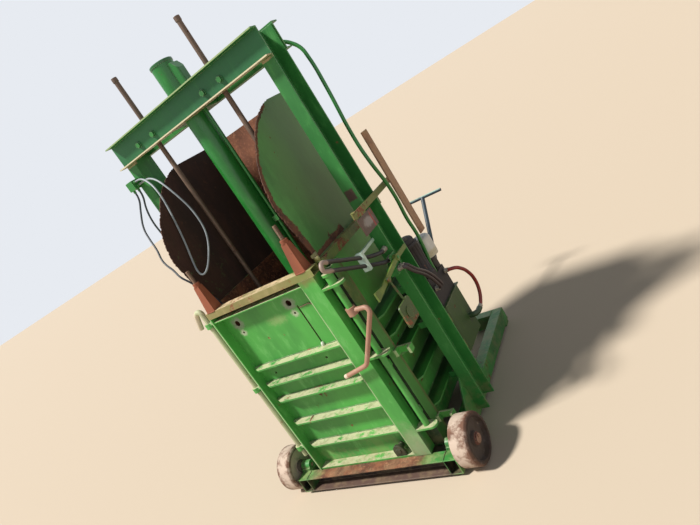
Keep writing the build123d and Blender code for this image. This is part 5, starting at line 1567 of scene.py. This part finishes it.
@dataclass
class HopperWork(Maker):
    """The hopper's two rounded side plates with eaten rims."""

    inner_x: float = 0.350
    wall: float = 0.005
    foot: Point = (0.0, -0.306, 1.155)
    nose: Point = (0.0, -0.355, 1.428)
    nose_mid: Point = (0.0, -0.324, 1.561)
    shoulder: Point = (0.0, -0.242, 1.676)
    shoulder_mid: Point = (0.0, -0.106, 1.791)
    flat: Point = (0.0, 0.030, 1.838)
    rear: float = 0.340
    hub: tuple[float, float] = (0.03, 1.46)
    bite: float = 0.004
    band_narrow: float = 0.014
    band_extra: float = 0.026
    band_high: float = 1.66
    band_fall: float = 0.36

    def outline(self) -> np.ndarray:
        """The plate's edge in Y and Z: straight stretches and two arcs, sampled evenly.

        Returns:
            Its points, one a row.
        """
        flat = [np.array(point[1:]) for point in (self.foot, self.nose, self.nose_mid, self.shoulder,
                                                  self.shoulder_mid, self.flat)]
        foot, nose, nose_mid, shoulder, shoulder_mid, top = flat
        corner_top = np.array([self.rear, top[1]])
        corner_low = np.array([self.rear, foot[1]])
        return np.concatenate([
            straight(foot, nose, 0.004)[:-1],
            arc_through(nose, nose_mid, shoulder, 80)[:-1],
            arc_through(shoulder, shoulder_mid, top, 90)[:-1],
            straight(top, corner_top, 0.012)[:-1],
            straight(corner_top, corner_low, 0.012)[:-1],
            straight(corner_low, foot, 0.012)[:-1],
        ])

    def plates(self) -> None:
        """Both plates.

        Each is a closed shell on rays from a hub: a point is hub + share * (edge - hub), out along
        the inner face and back along the outer one. The rusted front edge is bitten inwards by
        a few sines, and the faces bulge by slow ones. The mark called rim is the distance to the
        edge, counted in widths of the rusted band, which widens from the shoulder downwards.
        """
        edge = self.outline()
        number = np.arange(len(edge))
        front = np.clip((0.10 - edge[:, 0]) / 0.12, 0, 1)
        bite = self.bite * front * np.abs(np.sin(number * 0.37) * np.sin(number * 0.11 + 1)
                                          + 0.5 * np.sin(number * 0.83))
        hub = np.array(self.hub)
        arms = edge - hub
        length = np.linalg.norm(arms, axis=1)
        share = 1 - np.linspace(1, 0, 30) ** 2.2
        near = 1 - bite / length
        inner = hub + share[:, None, None] * (arms * near[:, None])[None]
        both = np.concatenate([inner, inner[::-1]])
        face = np.concatenate([np.zeros(len(share)), np.ones(len(share))])[:, None]
        bulge = 0.0012 * np.sin(both[..., 0] * 17 + 1) * np.sin(both[..., 1] * 13)
        fallen = np.clip((self.band_high - edge[:, 1]) / self.band_fall, 0, 1)
        width = self.band_narrow + self.band_extra * fallen
        rim = np.concatenate([1 - share, (1 - share)[::-1]])[:, None] * length / width
        rim = rim + (1 - front) * 8
        for side, name in ((-1, "hopper_plate_left"), (1, "hopper_plate_right")):
            x = side * (self.inner_x + self.wall * face + np.clip(bulge, -0.0006, 0.0006))
            points = self.plan.many(np.concatenate([x[..., None], both], axis=-1))
            marks = {"rim": rim, "outer": np.broadcast_to(face, rim.shape)}
            plate = self.file(name, [Sheet(points)], "hopper_plate", "frame", "hopper_plate", marks)
            split_sharp(plate, "sharp_rim")
        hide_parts("hopper_sides")

    def joints(self) -> None:
        """Weld beads between the plates, the back and the box's rails."""
        lines = []
        for x in (-0.3555, 0.3555):
            lines.append(((x, -0.30, 1.1565), (x, 0.335, 1.1565)))
            lines.append(((x * 0.983, 0.334, 1.16), (x * 0.983, 0.334, 1.82)))
        self.welds("hopper_welds", lines, 0.003, "frame", "hopper_plate")

    def build(self) -> None:
        """All of the hopper's pieces."""
        self.plates()
        self.joints()


@dataclass
class DoorWork(Maker):
    """Weld beads, threaded studs and small marks of the front door."""

    rib_wall: float = 0.010
    sheet_y: float = -0.335
    rib_front_y: float = -0.385
    post_x: float = 0.262
    stile_x: float = -0.340
    horn_x: float = 0.305
    horn_y: float = -0.3595
    horn_half: float = 0.0295
    horn_foot_z: float = 1.1555
    stud: tuple[float, float] = (1.312, 1.381)
    stud_radius: float = 0.0092
    pitch: float = 0.0030
    thread_depth: float = 0.0011
    blob_at: tuple[float, float] = (0.137, 0.789)
    blob_size: float = 0.0095
    wire: tuple[tuple[Point, Point], ...] = (
        ((0.142, -0.3375, 0.996), (0.205, -0.3385, 1.000)),
        ((0.208, -0.3385, 0.998), (0.250, -0.3385, 0.968)),
    )

    def rib_welds(self) -> None:
        """Beads where the flat ribs meet the latch post, the stile and the sheet."""
        lines = []
        for top in RIB_TOPS:
            for z in (top + 0.0008, top - self.rib_wall - 0.0008):
                lines.append(((self.post_x - 0.001, self.rib_front_y + 0.004, z),
                              (self.post_x - 0.001, self.sheet_y - 0.002, z)))
            lines.append(((self.stile_x + 0.02, self.sheet_y - 0.001, top + 0.001),
                          (self.post_x - 0.02, self.sheet_y - 0.001, top + 0.001)))
        self.welds("door_rib_welds", lines, 0.0032, "door", "box_paint")

    def horn_welds(self) -> None:
        """A bead round the foot of each horn, along the four sides of its base."""
        beads = []
        half = self.horn_half
        for side in (-1, 1):
            corners = [(side * self.horn_x + x, self.horn_y + y, self.horn_foot_z)
                       for x, y in ((-half, -half), (half, -half), (half, half), (-half, half))]
            for start, end in zip(corners, corners[1:] + corners[:1]):
                beads.append(bead(straight(self.plan.at(*start), self.plan.at(*end)), 0.0028,
                                  seed=float(len(beads))))
        self.file("horn_foot_welds", beads, "horn_rust", "door", "rusty_rail")

    def threads(self) -> None:
        """Threads of the two studs.

        The radius at a height and an angle is a wave of height / pitch - angle / full turn, so
        that one ridge climbs round the stud.
        """
        columns = 28
        low, high = self.stud
        height = np.linspace(0.004, high - low + 0.0004, 150)
        angle = np.linspace(0, 2 * np.pi, columns, endpoint=False)
        wave = (height[:, None] / self.pitch - angle[None] / (2 * np.pi)) % 1.0
        depth = self.thread_depth * (1 - np.abs(2 * wave - 1))
        radius = self.stud_radius + 0.0001 + depth
        radius[-3:] = self.stud_radius - 0.0004
        sheets = [turned(self.plan.at(side * self.horn_x, self.horn_y, low), UP, height, radius,
                         columns) for side in (-1, 1)]
        self.file("horn_stud_threads", sheets, "stud_steel", "door", "rusty_rail")

    def blob(self) -> None:
        """The pale weld blob at the foot of the sheet's slot: a ball whose radius wanders."""
        along = np.linspace(-1, 1, 20)
        angle = np.linspace(0, 2 * np.pi, 24, endpoint=False)
        ball = self.blob_size * np.sqrt(np.clip(1 - along**2, 0, 1))[:, None]
        wander = 1 + 0.16 * np.sin(3 * angle[None] + 4 * along[:, None]) + 0.1 * np.sin(
            7 * along[:, None] + angle[None])
        x, z = self.blob_at
        start = self.plan.at(x, self.sheet_y - 0.004, z)
        sheet = turned(start, UP, along * self.blob_size * 1.2, ball * wander, 24)
        self.file("slot_weld_blob", [sheet], "weld_pale", "door", "box_paint")

    def slot_hook(self) -> None:
        """The thin welded wire that runs from the top of the slot to the latch post."""
        path = np.concatenate([straight(self.plan.at(*start), self.plan.at(*end))
                               for start, end in self.wire])
        self.file("slot_wire", [bead(path, 0.0026, ripple=0.03)], "stud_steel", "door", "box_paint")

    def build(self) -> None:
        """All of the door's pieces."""
        self.rib_welds()
        self.horn_welds()
        self.threads()
        self.blob()
        self.slot_hook()


@dataclass
class FrameWork(Maker):
    """Weld beads of the uprights, crosshead, box and base, and the lug at the side rail's end."""

    bead_radius: float = 0.0034
    rib_bead_radius: float = 0.0030
    face_y: float = 0.0635
    crosshead_x: tuple[float, float] = (0.491, 0.553)
    crosshead_z: tuple[float, float] = (1.9615, 2.0745)
    foot_x: float = 0.4895
    foot_z: tuple[float, float] = (0.11, 0.25)
    base_z: float = 0.1055
    front_x: float = 0.4255
    front_y: tuple[float, float] = (-0.442, -0.379)
    rear_x: float = 0.4245
    rear_y: tuple[float, float] = (0.727, 0.789)
    floor_edge: Point = (0.345, -0.331, 0.1135)
    wall_x: float = 0.3512
    wall_y: tuple[float, float] = (-0.24, 0.40)
    back_x: float = 0.33
    back_y: float = 0.3412
    over_rib: float = 0.001
    lug_low: Point = (0.3515, -0.329, 1.1553)
    lug_high: Point = (0.3585, -0.286, 1.190)
    lug_foot: Point = (0.3840, -0.318, 1.176)

    def upright_welds(self) -> None:
        """Beads where the crosshead meets the uprights, and up the feet of the uprights."""
        lines = []
        inner, outer = self.crosshead_x
        low, high = self.foot_z
        for side in (-1, 1):
            for y in (-self.face_y, self.face_y):
                for z in self.crosshead_z:
                    lines.append(((side * inner, y, z), (side * outer, y, z)))
            for y in (-self.face_y, self.face_y):
                lines.append(((side * self.foot_x, y, low), (side * self.foot_x, y, high)))
        self.welds("frame_welds", lines, self.bead_radius, "frame", "frame_paint")

    def base_welds(self) -> None:
        """Beads on the rails at the front and rear cross members, and along the floor's edge."""
        lines = []
        for side in (-1, 1):
            for x, (near, far) in ((self.front_x, self.front_y), (self.rear_x, self.rear_y)):
                lines.append(((side * x, near, self.base_z), (side * x, far, self.base_z)))
        edge_x, edge_y, edge_z = self.floor_edge
        lines.append(((-edge_x, edge_y, edge_z), (edge_x, edge_y, edge_z)))
        self.welds("base_welds", lines, self.bead_radius, "frame", "base_paint")

    def rib_welds(self) -> None:
        """A bead over each flat rib, along both sides and the back of the box."""
        lines = []
        for z in (top + self.over_rib for top in RIB_TOPS):
            for x in (-self.wall_x, self.wall_x):
                lines.append(((x, self.wall_y[0], z), (x, self.wall_y[1], z)))
            lines.append(((-self.back_x, self.back_y, z), (self.back_x, self.back_y, z)))
        self.welds("rib_welds", lines, self.rib_bead_radius, "frame", "box_paint")

    def rail_end(self) -> None:
        """The small angle that stands on the front end of the right side rail."""
        sheets = [bar(self.lug_low, high, self.plan.shift) for high in (self.lug_high, self.lug_foot)]
        self.file("rail_end_lug", sheets, "rusty_rail", "frame", "rusty_rail")

    def build(self) -> None:
        """All of the frame's pieces."""
        self.upright_welds()
        self.base_welds()
        self.rib_welds()
        self.rail_end()


@dataclass
class PackWork(Maker):
    """The motor, the filter and the bars of the power pack, fuller than in the plain solids."""

    motor_at: tuple[float, float] = (0.498, 0.160)
    motor_low: float = 0.728
    motor_high: float = 0.918
    motor_radius: float = 0.057
    fin_count: int = 16
    fin_depth: float = 0.0035
    bell_height: float = 0.034
    terminals: tuple[Point, Point] = ((0.4685, 0.205, 0.800), (0.5115, 0.2315, 0.872))
    filter_at: tuple[float, float] = (0.508, 0.299)
    filter_low: float = 0.6963
    filter_neck: float = 0.768
    filter_high: float = 0.886
    filter_radius: float = 0.051
    filter_round: float = 0.020
    neck_radius: float = 0.024
    groove: tuple[float, ...] = (0.094, 0.095, 0.098, 0.099)
    groove_depth: float = 0.0012

    def motor(self) -> None:
        """A ribbed motor: the radius is a constant less a shallow wave of the angle between caps."""
        columns = 96
        rows = np.array([0.0, 0.001, 0.014, 0.016])
        along = np.concatenate([rows, self.motor_high - self.motor_low - rows[::-1]])
        angle = np.linspace(0, 2 * np.pi, columns, endpoint=False)
        fins = self.fin_depth * (0.5 + 0.5 * np.cos(self.fin_count * angle)) ** 3
        ribbed = np.array([0.0, 0.0, 0.0, 1.0, 1.0, 0.0, 0.0, 0.0])
        cap = np.array([0.001, 0.0, 0.0, 0.002, 0.002, 0.0, 0.0, 0.001])
        radius = self.motor_radius - cap[:, None] - ribbed[:, None] * fins[None]
        body = turned(self.plan.at(*self.motor_at, self.motor_low), UP, along, radius, columns)
        rise = np.linspace(0, 1, 14)
        bell_radius = self.motor_radius * 0.84 * (1 - 0.28 * rise**5) - 0.004 * rise**9
        bell = turned(self.plan.at(*self.motor_at, self.motor_high), UP,
                      rise * self.bell_height, bell_radius, 48)
        box = bar(*self.terminals, self.plan.shift)
        piece = self.file("pump_motor_ribbed", [body, bell, box], "pack_black", "frame", "pack_black")
        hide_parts("pump_motor")

    def filter(self) -> None:
        """The filter: a dark neck, a pale grooved cup and a domed top, all one turned shape."""
        dome = np.linspace(0, np.pi / 2, 12)
        neck = self.filter_neck - self.filter_low
        along = np.concatenate([
            [0.0, neck, neck + 0.002],
            self.groove,
            self.filter_high - self.filter_low - self.filter_round * (1 - np.sin(dome)),
        ])
        full = self.filter_radius
        grooved = full - self.groove_depth
        radius = np.concatenate([
            [self.neck_radius, self.neck_radius, full - 0.002],
            [full, grooved, grooved, full],
            full - self.filter_round * (1 - np.cos(dome)),
        ])
        sheet = turned(self.plan.at(*self.filter_at, self.filter_low), UP, along, radius, 48)
        piece = self.file("oil_filter_cup", [sheet], "filter_grey", "frame", "filter_grey")
        split_sharp(piece, "sharp_steps")
        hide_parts("oil_filter")

    def bars(self) -> None:
        """The tank's spacers, a narrow level bar with a welded stop, and the upright bar."""
        corners = (
            ((0.496, 0.0625, 0.320), (0.545, 0.086, 0.370)),
            ((0.496, 0.0625, 0.480), (0.545, 0.086, 0.530)),
            ((0.5553, -0.206, 1.216), (0.563, 0.292, 1.246)),
            ((0.5553, -0.150, 1.204), (0.5625, -0.096, 1.216)),
            ((0.5633, 0.227, 0.920), (0.571, 0.288, 1.488)),
            ((0.5555, -0.206, 1.246), (0.5790, -0.190, 1.252)),
        )
        sheets = [bar(low, high, self.plan.shift) for low, high in corners]
        piece = self.file("pack_bars", sheets, "bracket_rust", "frame", "bracket_rust")
        piece.data.polygons.foreach_set("use_smooth", np.zeros(len(piece.data.polygons), dtype=bool))
        edge = piece.modifiers.new("broken_edges", "BEVEL")
        edge.width = 0.0012
        edge.segments = 2
        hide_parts("pack_brackets")

    def build(self) -> None:
        """All of the power pack's pieces."""
        self.motor()
        self.filter()
        self.bars()


@dataclass
class HoseWork(Maker):
    """Crimped ends and nuts of the hoses, and the nuts of the pipes."""

    columns: int = 36

    def crimp(self, place: Point, direction: Point, hose: float, length: float = 0.030) -> list[Sheet]:
        """A crimped ferrule with a hexagon nut at the end that meets the port.

        The ferrule's radius is the hose's own plus a wall, with three shallow grooves, and the
        nut's is a hexagon's.

        Args:
            place: the face of the port, in the plan.
            direction: the way that the hose leaves.
            hose: the hose's radius.
            length: the ferrule's length.

        Returns:
            The ferrule and the nut.
        """
        start = self.plan.at(*place)
        along = np.linspace(0.010, length, 60)
        groove = 0.0009 * (0.5 - 0.5 * np.cos(2 * np.pi * (along - 0.010) / ((length - 0.010) / 3)))
        ferrule = hose + 0.0028 - groove
        ferrule[0] = ferrule[-1] = hose + 0.0012
        nut_along = np.array([0.0, 0.0008, 0.0092, 0.010])
        nut = hexagon(2 * hose + 0.008, self.columns)[None] * np.array([[0.94], [1.0], [1.0], [0.94]])
        return [
            turned(start, direction, along, ferrule, self.columns),
            turned(start, direction, nut_along, nut, self.columns),
        ]

    def build(self) -> None:
        """Every hose end where it meets its port."""
        ends = (
            ((0.5493, -0.098, 0.910), (1, 0, 0), 0.008, 0.026),
            ((0.5493, -0.076, 0.910), (1, 0, 0), 0.008, 0.026),
            ((0.5373, 0.112, 0.664), (1, 0, 0), 0.008, 0.026),
            ((0.5373, 0.138, 0.664), (1, 0, 0), 0.008, 0.026),
            ((0.5373, 0.292, 0.664), (1, 0, 0), 0.0095, 0.024),
            ((0.592, 0.314, 0.390), (0, 1, 0), 0.0095, 0.028),
            ((0.524, -0.0628, 1.012), (0, -1, 0), 0.0095, 0.030),
            ((0.524, -0.0628, 0.962), (0, -1, 0), 0.0095, 0.030),
        )
        for number, (place, direction, hose, length) in enumerate(ends):
            self.file(f"hose_end_{number}", self.crimp(place, direction, hose, length),
                      "crimped_steel", "frame", "worn_steel")


def main() -> None:
    """Dresses the press: studio first, then cables, finishes and worked details."""
    logging.basicConfig(level=logging.INFO, format="%(name)s: %(message)s")
    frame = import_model()
    bpy.context.scene.view_settings.view_transform = "Standard"
    plan = Plan.from_frame()
    studio = Studio()
    studio.camera(plan)
    shop = Paintshop(plan, Effects())
    shop.mix()
    for cable in CABLES:
        cable.lay(plan, shop)
    studio.floor()
    studio.sky()
    studio.lights()
    shop.dress(frame["nodes"])
    for work in (HopperWork, DoorWork, FrameWork, PackWork, HoseWork):
        work(plan, shop).build()


if __name__ == "__main__":
    main()
